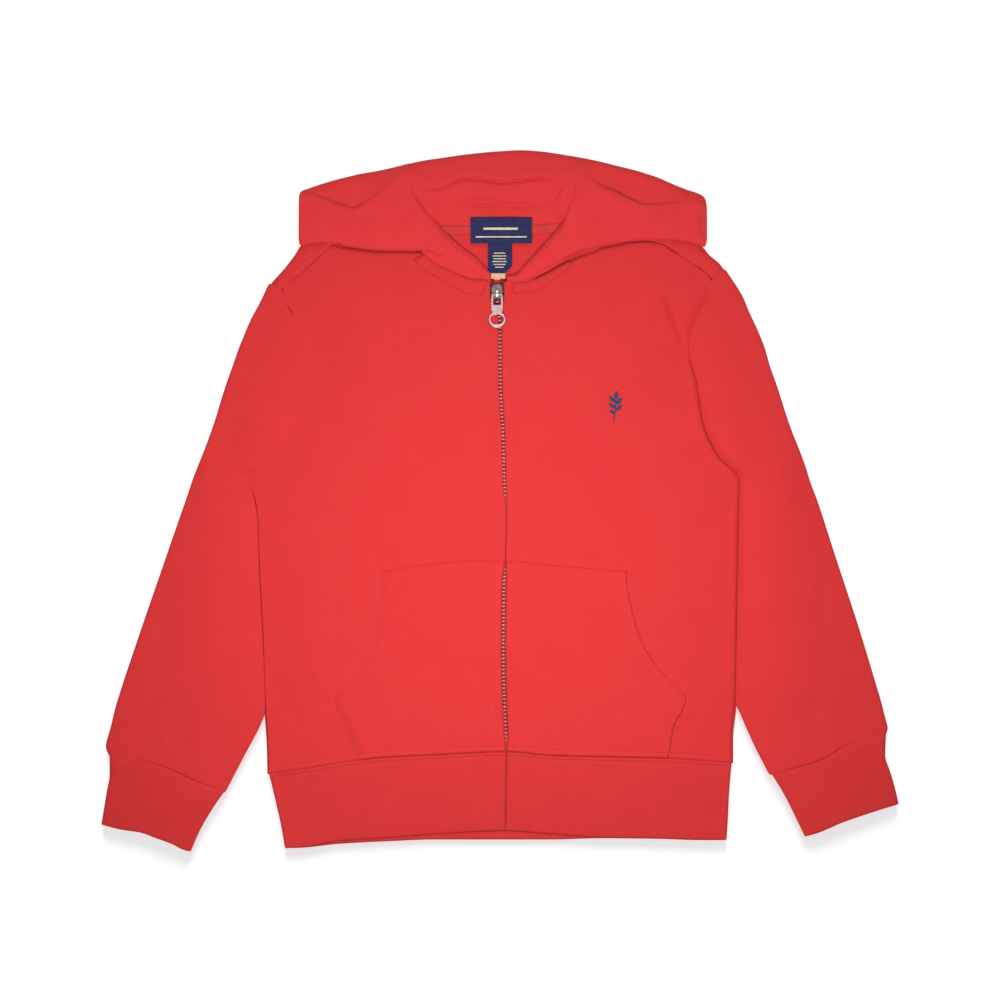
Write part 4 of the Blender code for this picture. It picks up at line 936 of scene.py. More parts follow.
for name, side, form, cuff in (("left", -1, SLEEVE_LEFT, CUFF_LEFT), ("right", 1, SLEEVE_RIGHT, CUFF_RIGHT)):
    seam = np.asarray(cuff["seam"], float)
    middle = np.column_stack([form["outer_x"] + form["inner_x"], form["outer_y"] + form["inner_y"]]) / 2
    length = reached(middle)
    rows = spaced(length[-1], int(length[-1] / 2.3))[0]
    fine = {column: smooth(length, form[column], rows) for column in form}
    outer = np.column_stack([fine["outer_x"], fine["outer_y"]])[:, None]
    inner = np.column_stack([fine["inner_x"], fine["inner_y"]])[:, None]

    def sleeve_place(across):
        share = across[..., None]
        curve = along(seam, np.clip(across, 0, 1).ravel()).reshape(across.shape + (2,))
        chord = seam[0] * (1 - share) + seam[-1] * share
        return outer * (1 - share) + inner * share + (curve - chord) * fine["bend"][:, None, None]

    sleeve = flat_tube(sleeve_place, rows, WALL, SLEEVE_ROOM, fine["puff"],
                       lambda x, y: folds(x, y, SLEEVE_FOLDS[side]), 2.0, 2.4, fold=fine["fold"])
    add_piece("sleeve_tube_" + name, [sleeve], FLEECE_RED, "sleeve_" + name)

# %% [markdown]
# ## Cuffs
# Each cuff is a shorter tube of rib, folded double at the wrist, and narrower than the sleeve that is
# gathered into it. The ribs run from the seam to the wrist; they are too fine to model one by one, so the
# finish draws them.

# %% Cuffs
TUCK = 1.3            # the cuff reaches this far into the sleeve
CUFF_ROOM, CUFF_PUFF = 0.9, 0.9
for name, cuff in (("left", CUFF_LEFT), ("right", CUFF_RIGHT)):
    length = float(np.linalg.norm(np.mean(cuff["seam"], axis=0) - np.mean(cuff["wrist"], axis=0)))
    rows = spaced(length, int(length / 2.2))[0]
    tucked = {edge: np.array(cuff[edge], float) for edge in ("seam", "outer", "inner")}
    tucked["seam"][:, 1] += TUCK
    tucked["outer"][0, 1] += TUCK
    tucked["inner"][0, 1] += TUCK

    def cuff_place(across):
        return np.array([
            patch(tucked["seam"], cuff["wrist"], tucked["outer"], tucked["inner"], [row / length], shares)[0]
            for row, shares in zip(rows, across)
        ])

    dent = [(-0.7, 2.0, 0, cuff["seam"])]
    tube = flat_tube(cuff_place, rows, RIB_WALL, CUFF_ROOM, np.full(len(rows), CUFF_PUFF),
                     lambda x, y: folds(x, y, dent), 1.6, 2.2)
    add_piece("cuff_tube_" + name, [tube], RIB_RED, "cuff_" + name)

# %% [markdown]
# ## Waistband
# One long strip of doubled rib starts at the zip, runs round one side, across the back and round to the zip
# again. On the table it lies in two layers, and the back layer shows a few millimetres below the front one.
# Along the seam the rib first swells and then dips under the row of stitches.

# %% Waistband, outline
BAND_SIDES = table("down left right", (0, -180.5, 181), (0.4, -175, 179), (0.75, -170.5, 178), (1, -168, 177))
BAND_WIDTH = 60.0
BAND_SLOPE = 3.4      # how much lower the front layer lies at the hem than at the seam
BAND_SINK = 0.7       # how far the two layers are pressed together
FRONT_REACH = 170.0   # about the length of the front layer on each side of the zip
fold_height = 2 * RIB_WALL + GAP
down = spaced(BAND_WIDTH, 24, SEAM_STEPS, EDGE_STEPS)[0]
share_down = down / BAND_WIDTH
left = look_up(BAND_SIDES, "left", share_down) + fold_height / 2
right = look_up(BAND_SIDES, "right", share_down) - fold_height / 2
band_start = zip_line(WAIST_LEVEL - down) - zip_apart(WAIST_LEVEL - down)
band_stop = zip_line(WAIST_LEVEL - down) + zip_apart(WAIST_LEVEL - down)
turn = np.linspace(0, math.pi, 9)[1:-1]
front_away = np.concatenate([[0, 0.25, 0.8, 1.7], np.linspace(3.0, FRONT_REACH, 72)]) / FRONT_REACH
back_share = np.linspace(0, 1, 110)
print("waistband:", 2 * (len(front_away) + len(turn)) + len(back_share), "columns")

# %% [markdown]
# The strip is worked out column by column: along the left front, round the side, across the back, and round
# the right side to the zip. Each column knows its place, its height and its layer, since the two layers
# have their own seam and hem lines.

# %% Waistband


def side_turn(edge, way, angles, reach):
    """Columns round one side, from one layer to the other."""
    return [
        (edge + way * math.sin(angle) * reach, fold_height / 2 + math.cos(angle) * reach,
         "front" if angle < math.pi / 2 else "back") for angle in angles
    ]


def band_strip(inset):
    """The strip's points, row by row down the band: inset moves them in from the outer face."""
    reach = fold_height / 2 - inset
    columns = [(band_start + (left - band_start) * share, None, "front") for share in front_away]
    columns += side_turn(left, -1, turn, reach)
    columns += [(left + (right - left) * share, inset, "back") for share in back_share]
    columns += side_turn(right, 1, turn[::-1], reach)
    columns += [(band_stop + (right - band_stop) * share, None, "front") for share in front_away[::-1]]
    points = []
    for place, level, layer in columns:
        seam = look_up(WAIST, "seam" if layer == "front" else "back_seam", place) + SEAM_GAP["band"]
        end = look_up(WAIST, layer + "_hem", place)
        if level is None:
            rise = lift(place, np.full_like(place, WAIST_LEVEL))
            lean = BAND_SLOPE * share_down**1.6 * np.clip(rise / FRONT_LIFT, 0, 1)
            level = fold_height + rise - inset - lean + (seam_swell(down, 1.8, 3.6) - BAND_SINK)
        points.append(stacked(place, seam + (end - seam) * share_down, level))
    return np.stack(points, axis=1)


outer, inner = band_strip(0.0), band_strip(RIB_WALL)
full = (rounding(down, 0.9) * rounding(BAND_WIDTH - down, 1.5))[:, None] * np.ones(outer.shape[1])
for count, share in ((0, 0.1), (1, 0.6), (2, 0.9)):
    full[:, [count, -1 - count]] *= share
half = (outer - inner) / 2 * full[..., None]
middle = (outer + inner) / 2
band = panel_part(middle + half, middle - half, stacked(reached(outer[0]), down[:, None]))
add_piece("waistband_rib", [band], RIB_RED, "waistband")

# %% [markdown]
# ## Pocket
# The kangaroo pocket is a patch in two halves, whose inner edges are caught in the placket and whose lower
# edges are caught in the waist seam. Only the curved hand openings are free. Each half is made from the
# front's own surface, moved up, so it follows every fold beneath it.

# %% Pocket, outline
POCKET_LEFT = table(
    "y outer",
    (-47, -96), (-62, -96), (-82, -97), (-108, -99), (-129, -109), (-138, -114), (-153, -130),
    (-158, -131), (-172, -124), (-190, -117), (-202, -113),
)
POCKET_RIGHT = table(
    "y outer",
    (-47, 99), (-55, 99), (-78, 102), (-94, 105), (-111, 111), (-128, 121), (-140, 131),
    (-154, 145), (-175, 136), (-200, 131),
)
POCKET_TOP = table("x top", (-96, -56), (-59, -50), (-17, -46.5), (4, -47), (47, -51), (99, -55))
POCKET_LEVEL = -47.0
POCKET_FADE = 50.0
POCKET_WALL = 1.7     # the patch is pressed flat along its seams
OPENING = {            # the row of stitches inside each hand opening
    -1: [(-74, -83), (-76, -98), (-84, -120), (-98, -142), (-112, -165)],
    1: [(83, -83), (99, -103), (105, -128), (116, -139), (135, -153)],
}
POCKET_FOLDS = {
    -1: [(-0.6, 1.0, 0.15, OPENING[-1])],
    1: [
        (-0.6, 1.0, 0.15, OPENING[1]),
        (0.5, 2.2, 0.2, [(100, -62), (104, -92), (109, -110), (119, -128), (142, -151)]),
    ],
}

print("pocket:", len(POCKET_LEFT["y"]), "and", len(POCKET_RIGHT["y"]), "rows in their tables")

# %% [markdown]
# The left opening's edge is pressed thin and melts into the front, while the right one stands up as a crisp
# edge, so the two halves are finished differently along it.

# %% Pocket
POCKET_STEP = 1.2
POCKET_SEAM = (0.6, 2.2)   # ridge and dent, from the pocket's top edge
for name, side, form in (("left", -1, POCKET_LEFT), ("right", 1, POCKET_RIGHT)):
    last = form["y"].min()
    x, y, off_outer, off_inner, off_top, off_end = panel_grid(
        POCKET_LEVEL, last,
        lambda rows: look_up(form, "outer", rows),
        lambda rows: zip_line(rows) + side * (zip_apart(rows) + 0.5),
        (POCKET_STEP, POCKET_STEP), SEAM_STEPS,
    )
    near_top = ease((y - POCKET_LEVEL + POCKET_FADE) / POCKET_FADE)
    near_waist = 1 - ease((y - last) / POCKET_FADE)
    top_drop = (look_up(POCKET_TOP, "top", x) - POCKET_LEVEL) * near_top
    bent = y + top_drop + (look_up(WAIST, "seam", x) + SEAM_GAP["pocket"] - last) * near_waist
    base = body_form(x, bent, side) + WALL + 0.1
    opening = ease(off_outer / 9.0) if side < 0 else rounding(off_outer, 1.2)
    full = opening * rounding(off_inner, 1.2) * rounding(off_top, 1.4) * rounding(off_end, 1.0)
    sewn = 1.3 * seam_swell(off_top, *POCKET_SEAM) + seam_swell(off_end, *WAIST_SEAM)
    level = base + POCKET_WALL * full + folds(x, bent, POCKET_FOLDS[side]) + sewn
    sunk = 0.5 * (1 - ease(off_outer / 3.0)) if side < 0 else 0.0
    high = np.maximum(level, base + LEAST_WALL) - sunk
    half_pocket = panel_part(stacked(x, bent, high), stacked(x, bent, base - sunk), stacked(x, bent))
    add_piece("pocket_patch_" + name, [half_pocket], FLEECE_RED, "pocket_" + name)

# %% [markdown]
# ## Hood, side panels
# The hood's front edge is turned out over the shoulders, so each side panel shows its inner face as a broad
# lapel, ends in a crisp ridge, steps down behind it and rolls over at the outline. A cloth simulation could
# fold it so, but would never land twice in the same place. Each panel is instead swept through sections
# from the tip to the zip. The table gives their places along y (face, ridge, top, base, neck), their
# heights (lapel, hollow, band, foot) and how far the face turns down into the neck (lip).

# %% Hood, side panels, outlines
HOOD_LEFT = table(
    "x face ridge top base lip neck lapel hollow band foot",
    (-157, 203, 232, 238, 206, 0, 203, 9, 7.5, 7, 2),
    (-156.4, 200.5, 235.5, 240, 203, 0, 200.5, 10.6, 8.4, 8.4, 1),
    (-155, 199.2, 238.5, 241.8, 201, 0, 199.2, 11.6, 9, 7.4, 0),
    (-150, 200.4, 239.6, 243.8, 201, 0, 200.4, 12.4, 9.4, 7.4, 0),
    (-140, 201.8, 236.4, 247.2, 203.5, 0, 201.8, 12.8, 9.4, 7.4, 0),
    (-128, 200.8, 232, 250.8, 206, 0, 200.8, 12.8, 9.4, 7.4, 0),
    (-120, 199, 229.4, 252.8, 207.4, 0, 199, 12.6, 9.4, 7.4, 0),
    (-115, 197.8, 228.2, 254, 208, 0, 197.8, 12.4, 9.4, 7.4, 0),
    (-111, 197.4, 229, 255, 208.4, 0, 197.4, 12.6, 9.4, 7.4, 0),
    (-105, 196.8, 232.4, 256, 209, 0, 196.8, 13, 10.8, 8, 0),
    (-97, 196.1, 238, 257.4, 210, 0, 196.1, 13.8, 12, 8, 0),
    (-89, 195.8, 244.6, 259, 210.5, 0, 195.8, 14.6, 12.8, 9.2, 0),
    (-77, 195.8, 252, 261.9, 211.2, 0, 195.8, 13.8, 13.2, 9.2, 0),
    (-72, 195.7, 255, 263.2, 211.5, 0, 195.7, 13.6, 12.7, 9.2, 0),
    (-70.6, 195.7, 254, 263.5, 211.5, 0, 195.7, 13, 12.7, 9.2, 0),
    (-70.2, 195.6, 247, 255.5, 211.5, 0, 195.6, 12.6, 12.3, 11.1, 0),
    (-68.4, 195.6, 240, 246.4, 211.8, 0, 195.6, 12, 11.7, 10.5, 0),
    (-65, 195.5, 232, 238.4, 211.9, 0, 195.5, 11.4, 11.1, 9.9, 0),
    (-60, 195.2, 225.6, 232.4, 212, 1, 193.8, 10.8, 10.5, 9.6, 0),
    (-52.5, 194.2, 215.4, 222.2, 212.2, 1, 187.8, 9.1, 8.8, 8, 0),
    (-50.5, 193, 212.6, 219.6, 212.2, 1, 186.2, 9.1, 8.8, 8, 2.8),
    (-42, 190.4, 202.8, 209.2, 205, 1, 182.4, 8.4, 8.2, 7.4, 2.8),
    (-29, 183.4, 192, 197.6, 193.5, 1, 176.2, 7.7, 7.5, 6.8, 2.8),
    (-18, 178, 184.6, 189.4, 186, 1, 174.5, 7.3, 7.1, 6.6, 2.8),
    (-10.2, 174.6, 178.2, 181, 179, 1, 173, 6.9, 6.7, 6.2, 2.8),
    (-7.4, 173.4, 175.8, 177.8, 176.4, 1, 172.6, 6.7, 6.5, 6.0, 2.8),
)
HOOD_RIGHT = table(
    "x face ridge top base lip neck lapel hollow band foot",
    (161.5, 204, 224, 230, 206, 0, 204, 9, 7.5, 7, 2),
    (160.9, 200.5, 228, 234, 203, 0, 200.5, 10.4, 8.6, 8.2, 1),
    (159.6, 198.2, 231, 237, 201, 0, 198.2, 11.4, 9.4, 9.2, 0),
    (155, 199.4, 233.4, 240, 201, 0, 199.4, 12.2, 10.2, 7.8, 0),
    (146, 202.4, 233.4, 243, 204, 0, 202.4, 12.6, 10.6, 7.8, 0),
    (135, 203.6, 232.2, 247.4, 206.5, 0, 203.6, 12.8, 10.6, 7.8, 0),
    (122, 204, 230.8, 253, 208, 0, 204, 12.6, 10, 7.8, 0),
    (112, 203.8, 231, 256.2, 208.6, 0, 203.8, 12.8, 9.8, 7.8, 0),
    (108, 203.4, 232.2, 257.5, 209, 0, 203.4, 13, 9.8, 7.8, 0),
    (94, 201.6, 238.8, 261, 210, 0, 201.6, 13.8, 9.8, 7.8, 0),
    (80, 199.8, 245, 264.5, 210.8, 0, 199.8, 14.4, 11.6, 8.8, 0),
    (66, 195.7, 252, 267.5, 211.2, 0, 195.1, 13.6, 12.4, 8.8, 0),
    (61, 193.9, 253, 268.4, 211.5, 0, 193.3, 13.2, 12.6, 9.2, 0),
    (59.4, 193.5, 252, 268.7, 211.5, 0, 192.9, 12.8, 12.6, 9.2, 0),
    (59, 193.4, 244, 252.5, 211.5, 0, 192.8, 12.6, 12.3, 11.4, 0),
    (57.2, 192.6, 235.5, 243.5, 211.8, 0, 192, 12, 11.7, 10.8, 0),
    (53.2, 191, 223, 230.5, 212, 0.5, 190.6, 11, 10.7, 9.8, 0),
    (49.4, 188.8, 212.4, 219.4, 212.2, 1, 188, 10, 9.7, 9, 0),
    (47.6, 187.8, 209.6, 216.4, 212.2, 1, 186.8, 9.7, 9.4, 8.7, 2.8),
    (42.4, 185, 203.4, 209.6, 206, 1, 183.4, 9.3, 9, 8.3, 2.8),
    (30, 178.4, 190.4, 195.8, 192.5, 1, 176.6, 8.3, 8.1, 7.5, 2.8),
    (20, 172.6, 180.8, 185, 182.5, 1, 172.0, 7.5, 7.3, 6.8, 2.8),
    (12.4, 171.2, 174.6, 177.2, 175.6, 1, 171.0, 6.9, 6.7, 6.2, 2.8),
    (5.4, 170.6, 173.4, 175.8, 174.4, 1, 170.6, 6.7, 6.5, 6.0, 2.8),
)
LAPEL_FOLDS = {
    -1: [
        (-1.0, 4.5, 0.3, [(-153.5, 236), (-153, 222), (-154, 206)]),
        (-1.1, 6, 0.35, [(-98, 232), (-84, 240), (-76, 250)]),
        (-1.3, 7, 0.35, [(-118, 224), (-106, 222), (-92, 226)]),
        (0.9, 8, 0.35, [(-140, 212), (-118, 209), (-90, 208)]),
        (-1.1, 6, 0.35, [(-80, 212), (-72, 224), (-70, 238)]),
        (-1.5, 3.6, 0.3, [(-50, 193), (-38, 188.6), (-28, 184.6), (-20, 180)]),
    ],
    1: [
        (-2.0, 3.8, 0.25, [(159, 231), (158.6, 218), (159.5, 202)]),
        (-1.4, 7, 0.35, [(64, 236), (72, 228), (84, 226)]),
        (0.9, 8, 0.35, [(140, 214), (116, 212), (92, 210)]),
        (-1.0, 6, 0.35, [(118, 226), (132, 228), (150, 227)]),
        (-0.9, 2.0, 0.2, [(61, 217), (77, 221.6), (92, 226), (113, 228.7)]),
    ],
}
print("hood:", len(HOOD_LEFT["x"]), "and", len(HOOD_RIGHT["x"]), "rows in its tables")

# %% [markdown]
# One section starts at the hidden neck edge, climbs the turned-out edge to the lapel, runs over it to the
# ridge, steps down behind it, rolls over at the outline and comes back underneath. Its hidden layers share
# this one rounded form.

# %% Hood, one section
HOOD_HEM = 4.2        # how thick the turned-out edge is
LAPEL_FLOOR = 6.3     # its underside, over the shoulder
LIP_FLOOR = 3.2       # its underside, in the neck
# The roll at the outline: how far in from it, and the share of the full height there
HOOD_ROLL = ((4.4, 0.99), (3.1, 0.95), (2.0, 0.87), (1.1, 0.75), (0.5, 0.59), (0.15, 0.42), (0.0, 0.26))


def hood_section(row):
    """The closed outline of one section, in y and z, from the hidden neck edge out over the lapel."""
    face, ridge, top, base, lip = (row[name] for name in ("face", "ridge", "top", "base", "lip"))
    crest, hollow, band, foot = (row[name] for name in ("lapel", "hollow", "band", "foot"))
    deep, room = ridge - face, top - ridge
    edge = min(LAPEL_FLOOR + HOOD_HEM, crest - 0.3)
    low = LAPEL_FLOOR + 0.35
    step = edge - low

    def between(hidden, shown):
        return hidden + (shown - hidden) * lip

    lapel = [
        (between(face + 7, row["neck"] - 1.2), between(LAPEL_FLOOR, LIP_FLOOR)),
        (between(face + 4.6, row["neck"] - 1.2), between(LAPEL_FLOOR + 0.1, LIP_FLOOR + 2.9)),
        (face + min(2.0, 0.2 * deep), low),
        (face + 0.5, low + 0.1 * step),
        (face - 0.3, low + 0.37 * step),
        (face, low + 0.65 * step),
        (face + min(0.9, 0.1 * deep), edge - 0.11 * step),
        (face + min(2.4, 0.2 * deep), edge),
        (face + min(7, 0.3 * deep), edge + 0.25 * (crest - edge)),
        (face + 0.55 * deep, edge + 0.7 * (crest - edge)),
        (ridge - min(6, 0.25 * deep), crest - 0.05),
        (ridge - min(2.4, 0.15 * deep), crest),
        (ridge - min(0.9, 0.06 * deep), crest - 0.35),
    ]
    roll = [
        (ridge, crest - 0.45 * (crest - hollow) - 0.1),
        (ridge + min(0.5, 0.08 * room), hollow + 0.2 * (crest - hollow)),
        (ridge + min(1.6, 0.2 * room), hollow),
    ]
    for away, full in HOOD_ROLL:
        share = 1 - away * min(1 + 0.4 * lip, (0.75 + 0.15 * lip) * room / HOOD_ROLL[0][0]) / room
        level = hollow + (band - hollow) * share
        roll.append((ridge + share * room, foot + (level - foot) * full))
    roll += [
        (top - min(0.3, 0.03 * room), foot + 0.14 * (band - foot)),
        (top - min(1.4, 0.12 * room), foot + 0.03 * (band - foot)),
        (top - min(3.6, 0.28 * room), foot),
        (base + 0.4, foot),
        (base, foot + 0.3),
        (base, max(between(LAPEL_FLOOR, LIP_FLOOR), foot + 0.6)),
    ]
    return lapel + roll


def dense(section, counts):
    """More points along a closed outline, smooth between its own."""
    closed = np.asarray(section + section[:1], float)
    return along(closed, np.linspace(0, 1, counts + 1)[:-1])


print("roll:", len(HOOD_ROLL), "steps")

# %% [markdown]
# The sections stand every 1.3 mm, and exactly at the table's own rows, where the form turns sharply. The
# folds move only the upper faces, so the underside stays where it lies on the shoulder.

# %% Hood, side panels
ROUND_POINTS = 124
HOOD_KNIT = 1.4       # from point to point round a section, about, for the knit's coordinates
for name, side, form in (("left", -1, HOOD_LEFT), ("right", 1, HOOD_RIGHT)):
    stations = np.unique(np.concatenate([np.arange(form["x"].min(), form["x"].max(), 1.3), form["x"]]))
    sections = []
    for x in stations:
        row = {column: float(look_up(form, column, x)) for column in form}
        outline = dense(hood_section(row), ROUND_POINTS)
        sections.append(stacked(x, outline[:, 0], outline[:, 1]))
    sections = np.array(sections)
    crest = look_up(form, "lapel", stations)[:, None]
    shown = ease((sections[..., 2] - 0.62 * crest) / 3.0)
    sections[..., 2] += folds(sections[..., 0], sections[..., 1], LAPEL_FOLDS[side]) * shown
    panel = loft_part(sections, stacked(sections[..., 0], np.arange(ROUND_POINTS) * HOOD_KNIT))
    add_piece("hood_side_" + name, [panel], BRUSHED_RED, "hood_" + name)

# %% [markdown]
# ## Hood, middle panel
# The middle panel joins the two sides over the head. It lies flat behind the neck, rolls over at the
# outline, and comes back to its own front edge, below which the inside of the hood is seen. It is a hairpin
# of cloth, swept from side to side. Its inner face keeps the deep soft folds where the hood's back
# collapses towards the neck.

# %% Hood, middle panel, outline
HOOD_CENTRE_SIDES = table(
    "y left right",
    (211.8, -45.6, 44.8), (218, -50.8, 49.4), (229.5, -60.4, 54.2), (240.5, -68.2, 58.6),
    (256, -73.0, 62.0), (275, -73.4, 62.2),
)
HOOD_CROWN = table(
    "x outline face",
    (-73.4, 262.8, 248), (-71.6, 263.2, 247), (-58, 266, 243.4), (-48, 267.4, 244.6),
    (-36, 269.2, 249.4), (-24, 270.8, 252), (0, 273, 248.8), (16, 273.8, 250.2), (32, 272.8, 251.8),
    (47, 270.7, 250), (60.4, 268.5, 251), (62.2, 268.2, 251),
)
NECK_SEAM = 211.8
CENTRE_ROUND = 150
CROWN_STEP = 2.9      # how far the crown's front edge stands above the lining
INSIDE_FOLDS = [
    (1.6, 3.6, 0.3, [(42, 220), (46, 228), (49, 237), (53, 246), (56, 252)]),
    (-1.8, 1.8, 0.25, [(22, 226.5), (33, 229), (41, 235), (45, 241), (51, 250)]),
    (2.1, 2.4, 0.25, [(-39, 234), (-29, 234.4), (-20, 232.2), (-10, 233), (4, 230.8), (28, 229),
                      (38, 232.6)]),
    (-1.9, 1.5, 0.25, [(-40, 231), (-29, 231.4), (-20, 229.2), (-10, 230), (4, 227.8), (28, 226)]),
    (1.6, 4.0, 0.4, [(-62, 236), (-52, 226), (-46, 219)]),
    (-1.3, 1.5, 0.3, [(-26, 225.2), (0, 224.2), (24, 223.6)]),
    (1.0, 2.4, 0.4, [(-30, 228.4), (-8, 227.4), (20, 226.4)]),
    (1.0, 3.0, 0.4, [(56, 238), (50, 228), (45, 220)]),
]
CROWN_LEVEL, CROWN_EDGE = 12.8, 9.2
CROWN_WIDTH = 132.0
BORDER = table("y level", (205, 8.6), (212, 9.0), (240, 11.5), (256, 12.6))   # the side panels' height there
print("folds inside the hood:", len(INSIDE_FOLDS))

# %% [markdown]
# At both ends the panel sinks a little and tucks in under the side panels, so that no gap shows at the
# seams. Towards the middle its front edge steps down to the lining, which leaves the crown's shadow line.

# %% Hood, one section of the middle panel


def middle_section(share):
    """The outline, in y and z, and the crown's front edge, at a share of the way from left to right."""
    x_top = HOOD_CENTRE_SIDES["left"][-1] * (1 - share) + HOOD_CENTRE_SIDES["right"][-1] * share
    outline, face = (float(look_up(HOOD_CROWN, column, x_top)) for column in ("outline", "face"))
    from_end = min(share, 1 - share) * CROWN_WIDTH
    sink = 0.45 * (1 - float(ease(from_end / 2.4)))
    drop = 0.15 + CROWN_STEP * float(ease((x_top + 68) / 20) * (1 - ease((x_top - 28) / 20)))
    reach = 8.2 if share < 0.5 else 14.0
    start = outline - reach - (outline - reach - 4 - face) * float(ease(from_end / 18))
    deep, high = face - NECK_SEAM, CROWN_LEVEL - drop - WALL
    tuck = NECK_SEAM - 1.6 * float(ease((abs(share - 0.5) - 0.4) / 0.06))
    front = CROWN_LEVEL - sink

    def crown_level(y):
        return front - (CROWN_LEVEL - CROWN_EDGE) * min(max((y - start) / (outline - start), 0), 1)

    section = [(tuck, 0.0), (236, 0.0), (outline - 6, 0.0), (outline - 2.4, 0.2), (outline - 0.5, 1.4)]
    section += [(outline - away, crown_level(outline - away) * full) for away, full in HOOD_ROLL[::-1]]
    section += [(y, crown_level(y)) for y in np.linspace(outline - 5.7, face + 2.2, 6)[1:]]
    section += [
        (face + 0.7, front - 0.2 * drop), (face + 0.1, front - 0.6 * drop), (face + 0.2, front - drop),
        (face - 0.8, front - 1.5 * drop), (face - 2.2, front - 1.2 * drop), (face - 4.2, front - drop - 0.2),
        (NECK_SEAM + 0.72 * deep, WALL + 0.82 * high), (NECK_SEAM + 0.5 * deep, WALL + 0.5 * high),
        (NECK_SEAM + 0.25 * deep, WALL + 0.14 * high), (NECK_SEAM + 0.1 * deep, WALL + 0.05),
        (tuck, WALL), (tuck - 0.1, 1.1),
    ]
    return dense(section, CENTRE_ROUND), face


print("points round a section:", CENTRE_ROUND)

# %% [markdown]
# With the sections in place, the inner face is lifted where it meets the side panels, and the folds are
# added to it.

# %% Hood, middle panel
CENTRE_COUNT = 104
MIDDLE_KNIT = 1.1     # from point to point round a section, about
sections, faces = [], []
for share in np.linspace(0, 1, CENTRE_COUNT):
    curve, face = middle_section(share)
    left, right = (look_up(HOOD_CENTRE_SIDES, side, curve[:, 0]) for side in ("left", "right"))
    sections.append(np.column_stack([left * (1 - share) + right * share, curve]))
    faces.append([face])
sections = np.array(sections)
inside = (sections[..., 2] > 1.6) & (np.arange(CENTRE_ROUND)[None] > CENTRE_ROUND * 0.45)
across, up = sections[..., 0], sections[..., 1]
near = np.minimum(across - look_up(HOOD_CENTRE_SIDES, "left", up),
                  look_up(HOOD_CENTRE_SIDES, "right", up) - across)
meet = (1 - ease(near / 15)) * ease((up - 215) / 12) * (inside & (up < np.array(faces) - 0.5))
wanted = look_up(BORDER, "level", up) - 0.1 - 1.5 * (1 - ease((up - 222) / 14))
sections[..., 2] += np.maximum(wanted - sections[..., 2], 0) * meet
sections[..., 2] += np.where(inside, folds(across, up, INSIDE_FOLDS) * ease((up - 213) / 8), 0)
panel = loft_part(sections, stacked(across, np.arange(CENTRE_ROUND) * MIDDLE_KNIT))
add_piece("hood_middle", [panel], BRUSHED_RED, "hood_centre")

# %% [markdown]
# ## Neck bands
# Where the hood is sewn to the fronts, a narrow strip covers the seam inside and out and is topstitched
# down. It is soft and a little puffed, so its section is a low arch.

# %% Neck bands
NECK_BAND_LEFT = {
    "seam": [(-59, 192.6), (-51, 185.6), (-40.5, 180.4), (-28, 174.6), (-22, 172.8), (-9.5, 171.8)],
    "hem": [(-68, 188.4), (-60.4, 181), (-50.4, 174.8), (-39, 168.2), (-29.4, 162.8), (-22.6, 160.8),
            (-13.5, 160.4)],
}
NECK_BAND_RIGHT = {
    "seam": [(54.5, 189.6), (46.5, 183.9), (35.5, 177.2), (28, 173.4), (20, 170.6), (9, 169.8)],
    "hem": [(57, 184), (50, 178), (43, 173), (32, 165.5), (24, 162.5), (9.5, 161.5)],
}
STRIP_HEIGHT, STRIP_ROUND = 2.1, 3.6
for name, side, form in (("left", -1, NECK_BAND_LEFT), ("right", 1, NECK_BAND_RIGHT)):
    shares = np.linspace(0, 1, 60)
    seam, hem = along(form["seam"], shares), along(form["hem"], shares)
    width = np.linalg.norm(hem - seam, axis=1)
    away = spaced(width, 7, (0.0, 0.2, 0.6, 1.2))
    part = (away / width[:, None])[..., None]
    place = seam[:, None] * (1 - part) + hem[:, None] * part
    x, y = place[..., 0], place[..., 1]
    length = reached(seam)
    from_end = np.minimum(length, length[-1] - length)[:, None]
    arch = rounding(away, STRIP_ROUND) * rounding(width[:, None] - away, STRIP_ROUND)
    arch = arch * rounding(from_end, 3.0)
    base = body_form(x, y, side) + WALL + 0.05
    top, under = stacked(x, y, base + STRIP_HEIGHT * arch), stacked(x, y, base)
    strip = panel_part(top, under, stacked(away, length[:, None]))
    add_piece("neck_strip_" + name, [strip], FLEECE_RED, "neck_band_" + name)

# %% [markdown]
# ## Zip
# The zip is two narrow woven tapes, almost hidden under the fronts' folded edges, each with a row of
# moulded teeth. One tooth is a small block with rounded shoulders. Copies of it step down the zip's line,
# left and right in turn, so that they mesh. Above the slider only the tapes' corded ends are left.

# %% Zip, finishes
# The tapes' dark red is partly their own red and partly painted shade: it stands in for the shadow in the gap
# between the fronts and under the slider's slot.
TAPE_RED_PAINTED_SHADE = finish("zip_tape_red_painted_shade", (0.15, 0.008, 0.009), 0.85, sheen=0.05, sheen_tint=(1.0, 0.5, 0.5))
# The teeth's pale rose is partly their red and partly a painted highlight: the bright dot that each tooth
# catches.
TOOTH_ROSE_PAINTED_HIGHLIGHT = finish("tooth_rose_painted_highlight", (0.68, 0.20, 0.19), 0.36)


def woven(made, scale, depth):
    """A close weave, as a bump of two crossed waves in the piece's own space."""
    place = own_place(made)
    warp = node(made, "ShaderNodeTexWave", Scale=scale, Distortion=0.3)
    weft = node(made, "ShaderNodeTexWave", Scale=scale, Distortion=0.3)
    warp.bands_direction, weft.bands_direction = "X", "Y"
    both = node(made, "ShaderNodeMath")
    both.operation = "MULTIPLY"
    tie(made, (place, warp.inputs["Vector"]), (place, weft.inputs["Vector"]),
        (warp.outputs["Fac"], both.inputs[0]), (weft.outputs["Fac"], both.inputs[1]))
    bumped(made, both.outputs[0], 0.8, depth)


woven(TAPE_RED_PAINTED_SHADE, 420, 0.12)
